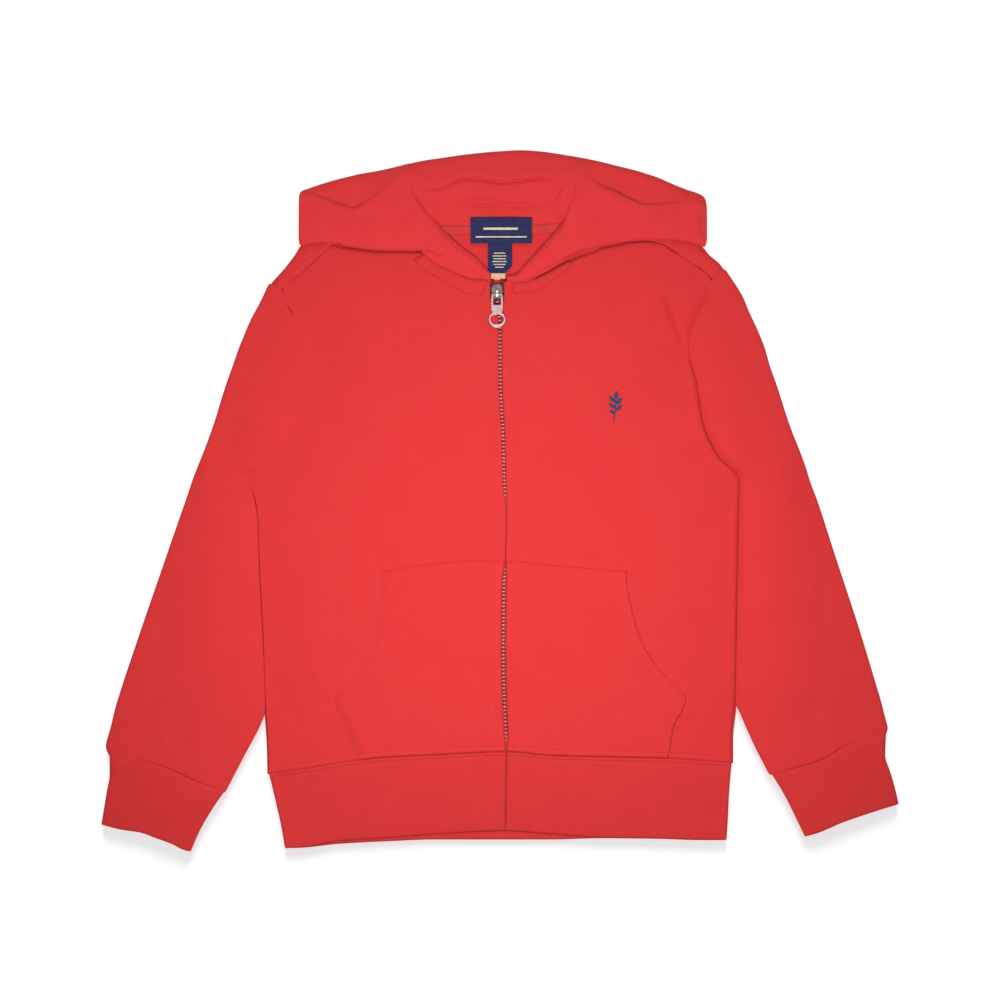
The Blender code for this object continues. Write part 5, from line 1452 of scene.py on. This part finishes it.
# Both shades of the teeth keep that painted highlight.
two_tone(TOOTH_ROSE_PAINTED_HIGHLIGHT, 700, 2, (0.60, 0.16, 0.15), (0.76, 0.25, 0.235))
print("zip finishes made")

# %% [markdown]
# The tapes rise a little where they cross the thicker waistband, so their height is a curve of its own. One
# tooth is a loft through six rings: a narrow foot, a full body, and a rounded point.

# %% Zip, its height and one tooth
TAPE_DROP = 0.5       # the tapes' top lies this far below the fronts' underside
RISE_START = -195.0   # where the tapes start to rise towards the waistband
WAISTBAND_TOP, WAISTBAND_LENGTH = -196.0, 62.0
BAND_RISE = 1.3       # the waistband is thicker than the fronts
TOOTH_SIDES = 8
TOOTH_RINGS = [         # place along the tooth, half width, half height
    (-1.8, 0.35, 0.3), (-1.1, 0.55, 0.55), (-0.3, 0.58, 0.7), (0.5, 0.55, 0.66), (1.0, 0.4, 0.5),
    (1.2, 0.2, 0.25),
]


def tape_level(y):
    """Top of the zip tapes, which rises a little where the waistband is thicker."""
    down = np.clip((WAISTBAND_TOP - y) / WAISTBAND_LENGTH, 0, 1)
    rise = BAND_RISE * ease((RISE_START - y) / 6) - BAND_SLOPE * down**1.6
    return WALL + GAP + lift(zip_line(y), y) - TAPE_DROP + rise


turn = np.linspace(0, 2 * math.pi, TOOTH_SIDES, endpoint=False) + math.pi / TOOTH_SIDES
rings = [stacked(x, half * np.cos(turn) * 1.15, high * np.sin(turn) * 1.15) for x, half, high in TOOTH_RINGS]
tooth_points, tooth_quads, tooth_tris = loft_part(np.array(rings))[:3]
print("one tooth:", 2 * len(tooth_quads) + len(tooth_tris), "triangles")

# %% [markdown]
# The right row's teeth stand half a step lower than the left row's, so that they mesh. Where the fronts
# close over the zip, the teeth sink under the cloth instead of cutting through it.

# %% Zip
TAPE_TOP, TAPE_END = 173.0, -256.0
TEETH_TOP, TEETH_END = 158.0, -254.0
TOOTH_STEP = 2.9
TAPE_REACH = 14.0
TAPE_WALL = 0.6
RIGHT_SHIFT = 1.2     # how far the right row's teeth stand from the zip's line
for name, side in (("left", -1), ("right", 1)):
    y = np.linspace(TAPE_TOP, TAPE_END, 150)
    inner = zip_line(y) + side * (2.6 - 2.0 * ease((TEETH_TOP - y) / 2.0))
    outer = zip_line(y) + side * TAPE_REACH
    share = np.array([0, 0.04, 0.3, 0.96, 1])
    top = stacked(inner[:, None] * (1 - share) + outer[:, None] * share, y[:, None], tape_level(y)[:, None])
    tape = panel_part(top, top - (0, 0, TAPE_WALL), top[..., :2])
    parts = [tape]
    start = TEETH_TOP - (0 if side < 0 else TOOTH_STEP / 2)
    for y in np.arange(start, TEETH_END, -TOOTH_STEP):
        hidden = 1 - float(ease((zip_apart(y) - 0.5) / 0.5))
        sunk = (-0.4 if side < 0 else 1.7) + hidden * (2.6 if side < 0 else 0.6)
        slope = float(zip_line(y - 0.5) - zip_line(y + 0.5))
        middle = float(zip_line(y)) + (0.0 if side < 0 else RIGHT_SHIFT)
        level = max(float(tape_level(y)) - sunk, 0.9)
        points = tooth_points * (-side, 1, 1)
        points = stacked(points[:, 0] + middle - slope * points[:, 1], points[:, 1] + y, points[:, 2] + level)
        quads, tris = (tooth_quads, tooth_tris) if side < 0 else (tooth_quads[:, ::-1], tooth_tris[:, ::-1])
        parts.append((points, quads, tris, points[:, :2]))
    piece = add_piece("zip_row_" + name, parts, TAPE_RED_PAINTED_SHADE, "zip_" + name)
    # The tapes take the dark red with its painted shade, and the teeth take the rose with its painted
    # highlight.
    piece.data.materials.append(TOOTH_ROSE_PAINTED_HIGHLIGHT)
    look = np.ones(len(piece.data.polygons), np.int32)
    look[:len(tape[1])] = 0
    piece.data.polygons.foreach_set("material_index", look)

# %% [markdown]
# ## Slider and pull
# The slider is cast metal: two plates joined at the nose, and a small arch that holds the pull, a stamped
# plate with a slot and a ring. Each plate is a flat curve, filled and bevelled, which gives clean holes and
# evenly rounded edges; it is then turned into a mesh.

# %% Slider and pull, finishes
# The pull's nickel is partly its own metal and partly a painted reflection: its pink tint stands in for the
# red cloth it reflects.
NICKEL_WITH_PAINTED_REFLECTION = finish("nickel", (0.24, 0.16, 0.165), 0.36, metallic=1.0)
# The slider's plates and nose take a dark copy of the nickel, painted shade that stands in for the shadow on
# the slider's body.
NICKEL_PAINTED_SHADE = finish("nickel_painted_shade", (0.10, 0.085, 0.085), 0.4, metallic=1.0)
# The arch takes a bright copy of the nickel, a painted highlight.
NICKEL_PAINTED_HIGHLIGHT = finish("nickel_painted_highlight", (0.90, 0.88, 0.84), 0.22, metallic=1.0)
# The two shades of the dark and the bright copies keep their painted shade and painted highlight.
for made, dark, light in ((NICKEL_WITH_PAINTED_REFLECTION, (0.20, 0.13, 0.135), (0.28, 0.19, 0.195)),
                          (NICKEL_PAINTED_SHADE, (0.07, 0.06, 0.06), (0.14, 0.12, 0.12)),
                          (NICKEL_PAINTED_HIGHLIGHT, (0.84, 0.82, 0.78), (0.92, 0.90, 0.87))):
    two_tone(made, 260, 3, dark, light)
grain = node(NICKEL_WITH_PAINTED_REFLECTION, "ShaderNodeTexNoise", Scale=1500.0, Detail=3.0)
tie(NICKEL_WITH_PAINTED_REFLECTION, (own_place(NICKEL_WITH_PAINTED_REFLECTION), grain.inputs["Vector"]))
bumped(NICKEL_WITH_PAINTED_REFLECTION, grain.outputs["Fac"], 0.25, 0.03)
print("metal finishes made")

# %% [markdown]
# `stamped` makes any such plate from its outlines: the first is the plate, the others are holes. The pin
# that the pull turns on lies above the slider's upper plate, with room for the pull's thickness.

# %% Stamped plates
SLIDER_X, SLIDER_Y = -2.3, 163.0
PIN_LIFT, PIN_RADIUS, PIN_ROOM = 0.25, 0.7, 0.35
PLATE = 1.2
slider_tape = WALL + GAP + float(lift(SLIDER_X, SLIDER_Y)) - TAPE_DROP
plate_low = slider_tape + 1.6
pin = (SLIDER_X, SLIDER_Y - 2.2, plate_low + PLATE + PIN_RADIUS + PIN_ROOM + PIN_LIFT)


def stamped(outlines, low, high, bevel):
    """Points and faces of a plate with holes, cut to outlines in mm and rounded along its edges."""
    curve = bpy.data.curves.new("plate", "CURVE")
    curve.dimensions, curve.fill_mode = "2D", "BOTH"
    curve.extrude = (high - low) / 2 - bevel
    curve.bevel_depth, curve.bevel_resolution, curve.offset = bevel, 3, -bevel
    for outline in outlines:
        spline = curve.splines.new("POLY")
        spline.points.add(len(outline) - 1)
        for point, (x, y) in zip(spline.points, outline):
            point.co = (x, y, 0, 1)
        spline.use_cyclic_u = True
    carrier = bpy.data.objects.new("plate", curve)
    scene.collection.objects.link(carrier)
    bpy.context.view_layer.update()
    mesh = carrier.evaluated_get(bpy.context.evaluated_depsgraph_get()).to_mesh()
    points = np.array([vertex.co for vertex in mesh.vertices], float) + (0, 0, (low + high) / 2)
    faces = [tuple(face.vertices) for face in mesh.polygons]
    carrier.to_mesh_clear()
    bpy.data.objects.remove(carrier)
    bpy.data.curves.remove(curve)
    quads = np.array([face for face in faces if len(face) == 4], int).reshape(-1, 4)
    tris = np.array([face for face in faces if len(face) == 3], int).reshape(-1, 3)
    return outward(points, quads, tris, points[:, :2])


def rounded(corners, radius):
    """A closed outline with its corners rounded."""
    corners = np.asarray(corners, float)
    made = []
    for before, corner, after in zip(np.roll(corners, 1, axis=0), corners, np.roll(corners, -1, axis=0)):
        start = corner + (before - corner) / np.linalg.norm(before - corner) * radius
        end = corner + (after - corner) / np.linalg.norm(after - corner) * radius
        for share in np.linspace(0, 1, 5):
            made.append((1 - share) ** 2 * start + 2 * share * (1 - share) * corner + share**2 * end)
    return np.array(made)


print("pin:", [round(float(value), 2) for value in pin])

# %% [markdown]
# The slider is four parts in one mesh: two plates, the nose between them and the arch. The arch is a loft
# along a line over the pin. Its section is a rounded rectangle, from a sine and a cosine whose values are
# pushed outwards.

# %% Slider
SLIDER_OUTLINE = [(-2.7, -5.75), (2.7, -5.75), (4.4, -2), (4.4, 3.45), (3.1, 5.75), (-3.1, 5.75),
                  (-4.4, 3.45), (-4.4, -2)]
SLIDER_NOSE = [(-1.6, 1.5), (0, -0.6), (1.6, 1.5), (1.6, 5.15), (-1.6, 5.15)]
ARCH_HALF, ARCH_THICK = 1.3, 0.52
plate_outline = rounded(SLIDER_OUTLINE, 0.9) + (SLIDER_X, SLIDER_Y)
nose_outline = rounded(SLIDER_NOSE, 0.4) + (SLIDER_X, SLIDER_Y)
back_high = slider_tape - TAPE_WALL - 0.7
arch_top = pin[2] + PIN_RADIUS + PIN_ROOM + 0.55
arch_line = np.array([
    (4.6, plate_low + 0.4), (4.5, plate_low + 1.6), (3.7, plate_low + 2.5), (2.0, arch_top - 0.3),
    (0.8, arch_top), (-0.8, arch_top), (-2.0, arch_top - 0.4), (-2.9, plate_low + 2.3),
    (-3.2, plate_low + 1.4), (-3.2, plate_low + 0.4),
]) + (pin[1], 0)
way = np.gradient(arch_line, axis=0)
way /= np.linalg.norm(way, axis=1, keepdims=True)
turn = np.linspace(0, 2 * math.pi, 12, endpoint=False)
wide, thick = (np.copysign(np.abs(wave) ** 0.6, wave) for wave in (np.cos(turn), np.sin(turn)))
arch = stacked(
    pin[0] + ARCH_HALF * wide,
    arch_line[:, :1] - way[:, 1:] * ARCH_THICK * thick,
    arch_line[:, 1:] + way[:, :1] * ARCH_THICK * thick,
)
slider_parts = [
    stamped([plate_outline], plate_low, plate_low + PLATE, 0.32),
    stamped([plate_outline], back_high - 1.0, back_high, 0.25),
    stamped([nose_outline], back_high - 0.4, plate_low + 0.4, 0.1),
    loft_part(arch),
]
slider = add_piece("slider_body", slider_parts, NICKEL_PAINTED_SHADE, "zip_slider", keep_knit=False)
# The plates and the nose keep the dark nickel, painted shade, and the arch takes the bright nickel, a painted
# highlight.
slider.data.materials.append(NICKEL_PAINTED_HIGHLIGHT)
quad_count = sum(len(part[1]) for part in slider_parts)
look = np.zeros(len(slider.data.polygons), np.int32)
look[quad_count - len(slider_parts[-1][1]):quad_count] = 1
look[len(look) - len(slider_parts[-1][2]):] = 1
slider.data.polygons.foreach_set("material_index", look)

# %% [markdown]
# The pull's outline is a ring's arc that runs into a straight plate. It rides on its own body, so that it
# swings about the pin, through the arch.

# %% Pull
PULL_WIDTH, PULL_REACH, PULL_HALF = 9.6, 14.5, 0.7   # the last is half its thickness
RING_RADIUS, RING_DOWN, RING_NECK = 6.6, 19.6, 3.0
half = PULL_WIDTH / 2
start = math.acos(0.8 * half / RING_RADIUS)
outline = [(RING_RADIUS * math.cos(a), RING_RADIUS * math.sin(a) - RING_DOWN)
           for a in np.linspace(start, -math.pi - start, 57)]
outline += [(-half, RING_NECK - PULL_REACH), (-half, -1.2), (-half + 0.35, -0.3), (1.2 - half, 0.55),
            (half - 1.2, 0.55), (half - 0.35, -0.3), (half, -1.2), (half, RING_NECK - PULL_REACH)]
outline = np.array(outline) + pin[:2]
slot_hole = rounded([(-2.7, -0.75), (-2.7, -8.2), (2.7, -8.2), (2.7, -0.75)], 0.8) + pin[:2]
ring_hole = np.array([(5.1 * math.cos(a), 3.7 * math.sin(a) - RING_DOWN)
                      for a in np.linspace(0, 2 * math.pi, 44, endpoint=False)]) + pin[:2]
pull = stamped([outline, slot_hole, ring_hole], pin[2] - PULL_HALF, pin[2] + PULL_HALF, 0.3)
# The pull takes the nickel with its painted pink reflection.
add_piece("pull", [pull], NICKEL_WITH_PAINTED_REFLECTION, "pull_tab", "pull", keep_knit=False)

# %% [markdown]
# ## Neck tape and labels
# A soft tape covers the seam behind the neck, and the woven labels are caught under it. They are left
# without any words: each has a few plain woven lines, as a blank label has.

# %% Neck tape and labels, finishes
NAVY_WOVEN = finish("label_navy", (0.022, 0.025, 0.085), 0.7)
shader_of(NAVY_WOVEN).inputs["Specular IOR Level"].default_value = 0.1
CREAM_WOVEN = finish("label_cream", (0.72, 0.62, 0.42), 0.7)
TAN_WOVEN = finish("label_tan", (0.72, 0.42, 0.24), 0.7)
TAPE_TWILL = finish("neck_tape_red", (0.70, 0.035, 0.04), 0.9, sheen=0.1, sheen_tint=(1.0, 0.6, 0.6))
for made, scale, dark, light in (
    (NAVY_WOVEN, 520, (0.018, 0.020, 0.070), (0.026, 0.031, 0.100)),
    (CREAM_WOVEN, 520, (0.62, 0.52, 0.33), (0.78, 0.70, 0.50)),
    (TAN_WOVEN, 420, (0.64, 0.36, 0.20), (0.78, 0.48, 0.28)),
    (TAPE_TWILL, 330, (0.52, 0.025, 0.028), (0.58, 0.03, 0.033)),
):
    woven(made, scale, 0.08)
    two_tone(made, 240, 3, dark, light)
print("label finishes made")

# %% [markdown]
# The tape lies on the back panel and bends a little with the neck seam, so it is a panel between two lines.

# %% Neck tape
TWILL_LENGTH, TWILL_WIDTH, TWILL_WALL = 92.0, 6.5, 0.9
TWILL_STEPS = (0.0, 0.2, 0.6)
# Left end, length and place along y, of the upper and the lower edge
UPPER_EDGE, LOWER_EDGE = (-46.4, 93.6, 214.5), (-41.4, 85.0, 208)
tape_low = WALL + GAP
run = spaced(TWILL_LENGTH, 40, TWILL_STEPS)[0] / TWILL_LENGTH
down = spaced(TWILL_WIDTH, 6, TWILL_STEPS)[0][:, None]
share = down / TWILL_WIDTH
x = (UPPER_EDGE[0] + UPPER_EDGE[1] * run) * (1 - share) + (LOWER_EDGE[0] + LOWER_EDGE[1] * run) * share
y = UPPER_EDGE[2] * (1 - share) + LOWER_EDGE[2] * share + 2.2 * ease((x - 22) / 26)
edge = rounding(down, 0.8) * rounding(TWILL_WIDTH - down, 0.8)
high = tape_low + TWILL_WALL * (0.4 + 0.6 * edge)
twill = panel_part(stacked(x, y, high), stacked(x, y, tape_low), stacked(x, y))
add_piece("neck_tape_twill", [twill], TAPE_TWILL, "neck_tape")

# %% [markdown]
# Each label is a thin patch that bows up a little in the middle. The smaller one has a slanting lower corner.

# %% Labels
LABEL_STEPS = (0.0, 0.12, 0.35, 0.7)
LABEL_ROUND = 0.5


def soft_patch(left, right, low, high, level, thick, bow, cut):
    """A small patch of cloth between four sides, bowed, with a round edge and one lower corner cut."""
    width, length = right - left, high - low
    across = spaced(width, 18, LABEL_STEPS)[0]
    down = spaced(length, 14, LABEL_STEPS)[0][:, None]
    y = high - down
    edge = rounding(across, LABEL_ROUND) * rounding(width - across, LABEL_ROUND)
    edge = edge * rounding(down, LABEL_ROUND) * rounding(length - down, LABEL_ROUND)
    level = level + bow * np.sin(np.pi * across / width)
    x = left + across * (1 - np.maximum(cut - (y - low), 0) / width)
    top = stacked(x, y, level + thick * (0.5 + 0.5 * edge))
    return panel_part(top, stacked(x, y, level + thick * 0.5 * (1 - edge)), stacked(x, y))


label_low = tape_low + 1.05
for name, look, slot, cad_node, sides, level, thick, bow, cut in (
    ("main_label", NAVY_WOVEN, "label", "label_main", (-23, 25, 200.8, 221.4), label_low, 0.6, 0.5, 0),
    ("care_label", NAVY_WOVEN, "label", "label_care", (-9.5, 9.5, 177.5, 203), 3.0, 0.4, 0.6, 5.5),
    ("label_end_strip", TAN_WOVEN, "label_end", "label_tab", (-7, 4, 172.6, 182.0), 2.45, 0.25, 0, 0),
):
    add_piece(name, [soft_patch(*sides, level, thick, bow, cut)], look, cad_node)

# %% [markdown]
# The lines woven into a label stand a tenth of a millimetre proud of it and follow its bow.

# %% Lines in the labels
LINE_DEPTH = 0.15     # how far a line reaches into its label
MAIN_LINES = [(-13, 14, 211.4, 213.2), (-19, 21, 205.4, 206.4)]
CARE_LINES = [(193.6, 4.6), (191.4, 5.4), (189.2, 5.0), (187.0, 5.6), (184.8, 4.8), (182.6, 3.4)]


def woven_line(across, down, level, bow, edge, width, proud):
    """A flat line at the surface of a label that bows up between its edges."""
    x, y = np.meshgrid(across, down)
    level = level + bow * np.sin(np.pi * (x + edge) / width)
    return panel_part(stacked(x, y, level + proud), stacked(x, y, level - LINE_DEPTH), stacked(x, y))


main_lines = [
    woven_line(np.linspace(left, right, 24), np.linspace(high, low, 3), label_low + 0.6, 0.5, 23, 48, 0.1)
    for left, right, low, high in MAIN_LINES
]
care_lines = [
    woven_line(np.linspace(-reach, reach, 12) - 0.4, (y, y - 0.35, y - 0.7), 3.4, 0.6, 9.5, 19, 0.08)
    for y, reach in CARE_LINES
]
add_piece("main_label_lines", main_lines, CREAM_WOVEN)
add_piece("care_label_lines", care_lines, CREAM_WOVEN)

# %% [markdown]
# ## Stitches
# Topstitching is what makes cloth look sewn. A dashed line in the finish would stay flat, so every stitch
# is a short round thread that sinks into the cloth at both ends. A ray dropped from above finds the height
# of the cloth under its ends and its middle.

# %% Threads
THREAD = 0.34         # radius
THREAD_SIDES = 6
THREAD_RED = finish("thread_red", (0.66, 0.036, 0.038), 0.7, sheen=0.05, sheen_tint=(1.0, 0.7, 0.7))
THREAD_NAVY = finish("thread_navy", (0.016, 0.024, 0.09), 0.5, sheen=0.2, sheen_tint=(0.6, 0.7, 1.0))
two_tone(THREAD_RED, 900, 2, (0.62, 0.033, 0.035), (0.69, 0.040, 0.042))
two_tone(THREAD_NAVY, 900, 2, (0.010, 0.016, 0.07), (0.026, 0.038, 0.14))
bpy.context.view_layer.update()
depsgraph = bpy.context.evaluated_depsgraph_get()
surfaces = {name: BVHTree.FromObject(piece, depsgraph) for name, piece in pieces.items()}


def cloth_height(places, on):
    """Height in mm of the highest of the named pieces at each place. Not a number where there is none."""
    heights = np.full(len(places), np.nan)
    for name in on:
        for count, (x, y) in enumerate(places):
            hit = surfaces[name].ray_cast(Vector((x * MM, y * MM, 0.05)), Vector((0, 0, -1)))[0]
            if hit is not None:
                heights[count] = np.fmax(heights[count], hit.z / MM)
    return heights


def threads(starts, ends, low_start, low_end, low_middle, radius):
    """One part with a thread from each start to each end; it dips at its ends."""
    count = len(starts)
    way = ends - starts
    way = way / np.linalg.norm(way, axis=1, keepdims=True)
    sideways, up = stacked(-way[:, 1], way[:, 0], 0), np.array([0, 0, 1.0])
    turn = np.linspace(0, 2 * math.pi, THREAD_SIDES, endpoint=False)
    rings = []
    for share, size in ((0.0, 0.45), (0.22, 1.0), (0.78, 1.0), (1.0, 0.45)):
        place = starts * (1 - share) + ends * share
        if share in (0.0, 1.0):
            level = (low_start if share == 0 else low_end) - radius * 0.55
        else:
            level = low_middle * 0.5 + (low_start * (1 - share) + low_end * share) * 0.5 + radius * 0.35
        centre = np.column_stack([place, level])
        ring = [centre + radius * size * (math.cos(a) * sideways + math.sin(a) * up) for a in turn]
        rings.append(np.stack(ring, axis=1))
    points = np.stack(rings, axis=1).reshape(-1, 3)
    caps = [[3, 2, 1, 0], [5, 4, 3, 0], [18, 19, 20, 21], [18, 21, 22, 23]]
    single = np.concatenate([grid_faces(4, THREAD_SIDES, ring=True), caps])
    quads = (np.arange(count)[:, None, None] * 4 * THREAD_SIDES + single[None]).reshape(-1, 4)
    return outward(points, quads, NO_TRIS, points[:, :2])


print("surfaces to sew on:", len(surfaces))

# %% [markdown]
# A row is sewn along a line, with a stitch in the middle of each even step. Double rows on the shoulders
# and the bars at the pocket's corners run beside a line, at a distance to its left.

# %% Rows of stitches
STITCH, STITCH_PITCH = 2.2, 3.1
sewn_rows = []


def beside(points, offset):
    """The same line, moved to its left."""
    fine = along(points, np.linspace(0, 1, 40))
    way = np.gradient(fine, axis=0)
    way /= np.linalg.norm(way, axis=1, keepdims=True)
    return fine + offset * stacked(-way[:, 1], way[:, 0])


def sew(points, on, pitch=STITCH_PITCH, stitch=STITCH):
    """Sew a row of stitches along a line, on the named pieces."""
    fine = along(points, np.linspace(0, 1, 200))
    length = reached(fine)
    at = np.linspace(0, length[-1], max(2, int(length[-1] / pitch) + 1))
    places = np.column_stack([np.interp(at, length, fine[:, axis]) for axis in (0, 1)])
    middle = (places[:-1] + places[1:]) / 2
    way = places[1:] - places[:-1]
    way /= np.linalg.norm(way, axis=1, keepdims=True)
    starts, ends = middle - way * stitch / 2, middle + way * stitch / 2
    levels = [cloth_height(at, on) for at in (starts, ends, middle)]
    found = ~np.isnan(sum(levels))
    sewn_rows.append(threads(starts[found], ends[found], *(level[found] for level in levels), THREAD))


print("stitches:", STITCH, "mm long, every", STITCH_PITCH, "mm")

# %% [markdown]
# Every seam that shows gets its rows: both shoulders, the placket beside the zip, the pocket's top, its
# openings with a bar at the lower corner, the waist seam, the neck bands and the neck tape.

# %% Stitches
TACK = {-1: [(-131, -157), (-126, -171)], 1: [(145, -154), (136, -174)]}   # the bar on each pocket
# How far each row is from its seam or edge
SHOULDER_ROWS, WAIST_ROWS, POCKET_ROWS = (3.3, -2.4), (3.9, -3.4), (5.4, -1.9)
OPENING_ROW, SIDE_ROW, NECK_ROW = 2.2, 2.0, 1.3
for side, shoulder, pocket_form in ((-1, SHOULDER_LEFT, POCKET_LEFT), (1, SHOULDER_RIGHT, POCKET_RIGHT)):
    end = "_left" if side < 0 else "_right"
    front, pocket = "front_panel" + end, "pocket_patch" + end
    seam = np.column_stack([shoulder["seam_x"], shoulder["seam_y"]])[1:]
    for away in SHOULDER_ROWS:
        sew(beside(seam, side * away), [front, "back_panel"])
    for first, last, count, on in ((158, -196, 60, [front, pocket]), (-200, -257, 20, ["waistband_rib"])):
        y = np.linspace(first, last, count)
        sew(stacked(zip_line(y) + side * PLACKET, y), on)
    x = np.linspace(12 * side, 95 * side, 30)
    pocket_top = look_up(POCKET_TOP, "top", x)
    for away, on in zip(POCKET_ROWS, (front, pocket)):
        sew(stacked(x, pocket_top + away), [on])
    y = np.linspace(-58, -150, 40)
    sew(stacked(look_up(pocket_form, "outer", y) - side * OPENING_ROW, y), [pocket])
    sew(OPENING[side], [pocket])
    for away in (-0.5, 0.5):
        sew(beside(TACK[side], away), [pocket], pitch=1.6, stitch=1.5)
    y = np.linspace(-162, -198, 16)
    sew(stacked(look_up(pocket_form, "outer", y) - side * SIDE_ROW, y), [pocket])
    x = np.linspace(13 * side, 178 * side, 60)
    waist = look_up(WAIST, "seam", x)
    for away, on in zip(WAIST_ROWS, ([front, pocket], ["waistband_rib"])):
        sew(stacked(x, waist + away), on)
sew(beside(NECK_BAND_LEFT["hem"], -NECK_ROW), ["neck_strip_left"], pitch=2.7)
sew(beside(NECK_BAND_RIGHT["hem"], NECK_ROW), ["neck_strip_right"], pitch=2.7)
sew([(-44, 213.4), (0, 213.6), (24, 213.5), (44, 215)], ["neck_tape_twill"], pitch=2.6, stitch=2.1)
sew([(-40.6, 209), (0, 209.2), (24, 209), (40.4, 210.4)], ["neck_tape_twill"], pitch=2.6, stitch=2.1)
add_piece("stitches_body", sewn_rows, THREAD_RED, keep_knit=False)

# %% [markdown]
# ## Chest embroidery
# A small sprig in satin stitch sits on the chest. Satin stitch is many parallel threads side by side, so
# each leaf is filled with slanting threads whose length follows the leaf's outline.

# %% Chest embroidery
SPRIG_MIDDLE = (90.4, 73.3)
SATIN_THREAD = 0.27   # radius
SATIN_STEP = 0.42     # from thread to thread
SATIN_RISE = 0.5      # how far satin stitch swells in the middle
LEAVES = [            # foot of the leaf, tip of the leaf, half width
    ((0.0, 5.5), (0.6, 12.2), 2.0), ((-0.3, 3.0), (-5.2, 8.2), 1.8), ((0.4, 1.8), (5.2, 7.0), 1.8),
    ((-0.4, -1.6), (-5.4, 2.6), 1.7), ((0.2, -3.0), (5.0, 1.4), 1.7), ((-0.8, -6.0), (-4.8, -2.4), 1.4),
]
STALK = [(-1.6, -12.2), (-1.0, -7), (-0.2, -1), (0.1, 5.6)]
starts, ends = [], []
for foot, tip, half_width in LEAVES:
    foot, tip = np.array(foot), np.array(tip)
    long_way = (tip - foot) / np.linalg.norm(tip - foot)
    cross_way = np.array([-long_way[1], long_way[0]])
    count = int(np.linalg.norm(tip - foot) / SATIN_STEP)
    for share in (np.arange(count) + 0.5) / count:
        reach = half_width * math.sin(math.pi * share**0.85) ** 0.8
        middle = foot + (tip - foot) * share
        starts.append(middle - cross_way * reach - long_way * 0.35)
        ends.append(middle + cross_way * reach + long_way * 0.35)
stalk = along(STALK, np.linspace(0, 1, 44))
for before, after in zip(stalk[:-1], stalk[1:]):
    starts.append((before + after) / 2 + (-0.5, 0.1))
    ends.append((before + after) / 2 + (0.5, -0.1))
starts, ends = np.array(starts) + SPRIG_MIDDLE, np.array(ends) + SPRIG_MIDDLE
middle = (starts + ends) / 2
low_start, low_end, low_middle = (cloth_height(at, ["front_panel_right"]) for at in (starts, ends, middle))
sprig = threads(starts, ends, low_start, low_end, low_middle + SATIN_RISE, SATIN_THREAD)
add_piece("chest_sprig", [sprig], THREAD_NAVY, keep_knit=False)

# %% [markdown]
# ## The cut of each sheet
# Every piece of cloth is listed with the width and length that a maker would cut, and its area where the
# cut isn't a rectangle, and its modelled area is printed beside the cut's.

# %% The cut of each sheet


def cloth_area(piece):
    """Half of a closed piece's surface in square metres, which is the size of its cloth."""
    return sum(face.area for face in piece.data.polygons) / 2


CUTS = {               # width and length in metres, share of that rectangle, what it rests on
    "back_panel": (0.40, 0.43, 0.88, []),
    "front_panel_left": (0.195, 0.415, 0.86, ["back_panel"]),
    "front_panel_right": (0.195, 0.415, 0.86, ["back_panel"]),
    "sleeve_tube_left": (0.205, 0.40, 0.70, []),
    "sleeve_tube_right": (0.205, 0.40, 0.70, []),
    "cuff_tube_left": (0.172, 0.054, 0.96, []),
    "cuff_tube_right": (0.172, 0.054, 0.96, []),
    "waistband_rib": (0.716, 0.064, 0.95, ["back_panel"]),
    "pocket_patch_left": (0.136, 0.155, 0.80, ["front_panel_left"]),
    "pocket_patch_right": (0.140, 0.155, 0.80, ["front_panel_right"]),
    "hood_side_left": (0.150, 0.085, 0.70, ["front_panel_left", "back_panel"]),
    "hood_side_right": (0.150, 0.085, 0.70, ["front_panel_right", "back_panel"]),
    "hood_middle": (0.125, 0.085, 0.82, ["back_panel"]),
    "neck_strip_left": (0.060, 0.0115, 0.95, ["front_panel_left"]),
    "neck_strip_right": (0.054, 0.0100, 0.90, ["front_panel_right"]),
    "neck_tape_twill": (0.094, 0.010, 0.7, ["back_panel"]),
    "main_label": (0.048, 0.021, 1.0, ["neck_tape_twill"]),
    "care_label": (0.019, 0.026, 1.0, ["back_panel"]),
    "label_end_strip": (0.011, 0.010, 0.95, ["back_panel"]),
}
for name, (width, length, share, rests_on) in CUTS.items():
    measured = cloth_area(pieces[name])
    print(f"{name}: cut {width * length * share:.5f}, modelled {measured:.5f}, "
          f"{measured / (width * length * share):.2f}")

# %% [markdown]
# ## Size
# The triangles of all the added pieces are counted and printed. The visual model has to stay inside the
# imported model's box, apart from a few millimetres of soft cloth.

# %% Size
total = sum(len(polygon.vertices) - 2 for piece in pieces.values() for polygon in piece.data.polygons)
print("triangles added:", total)
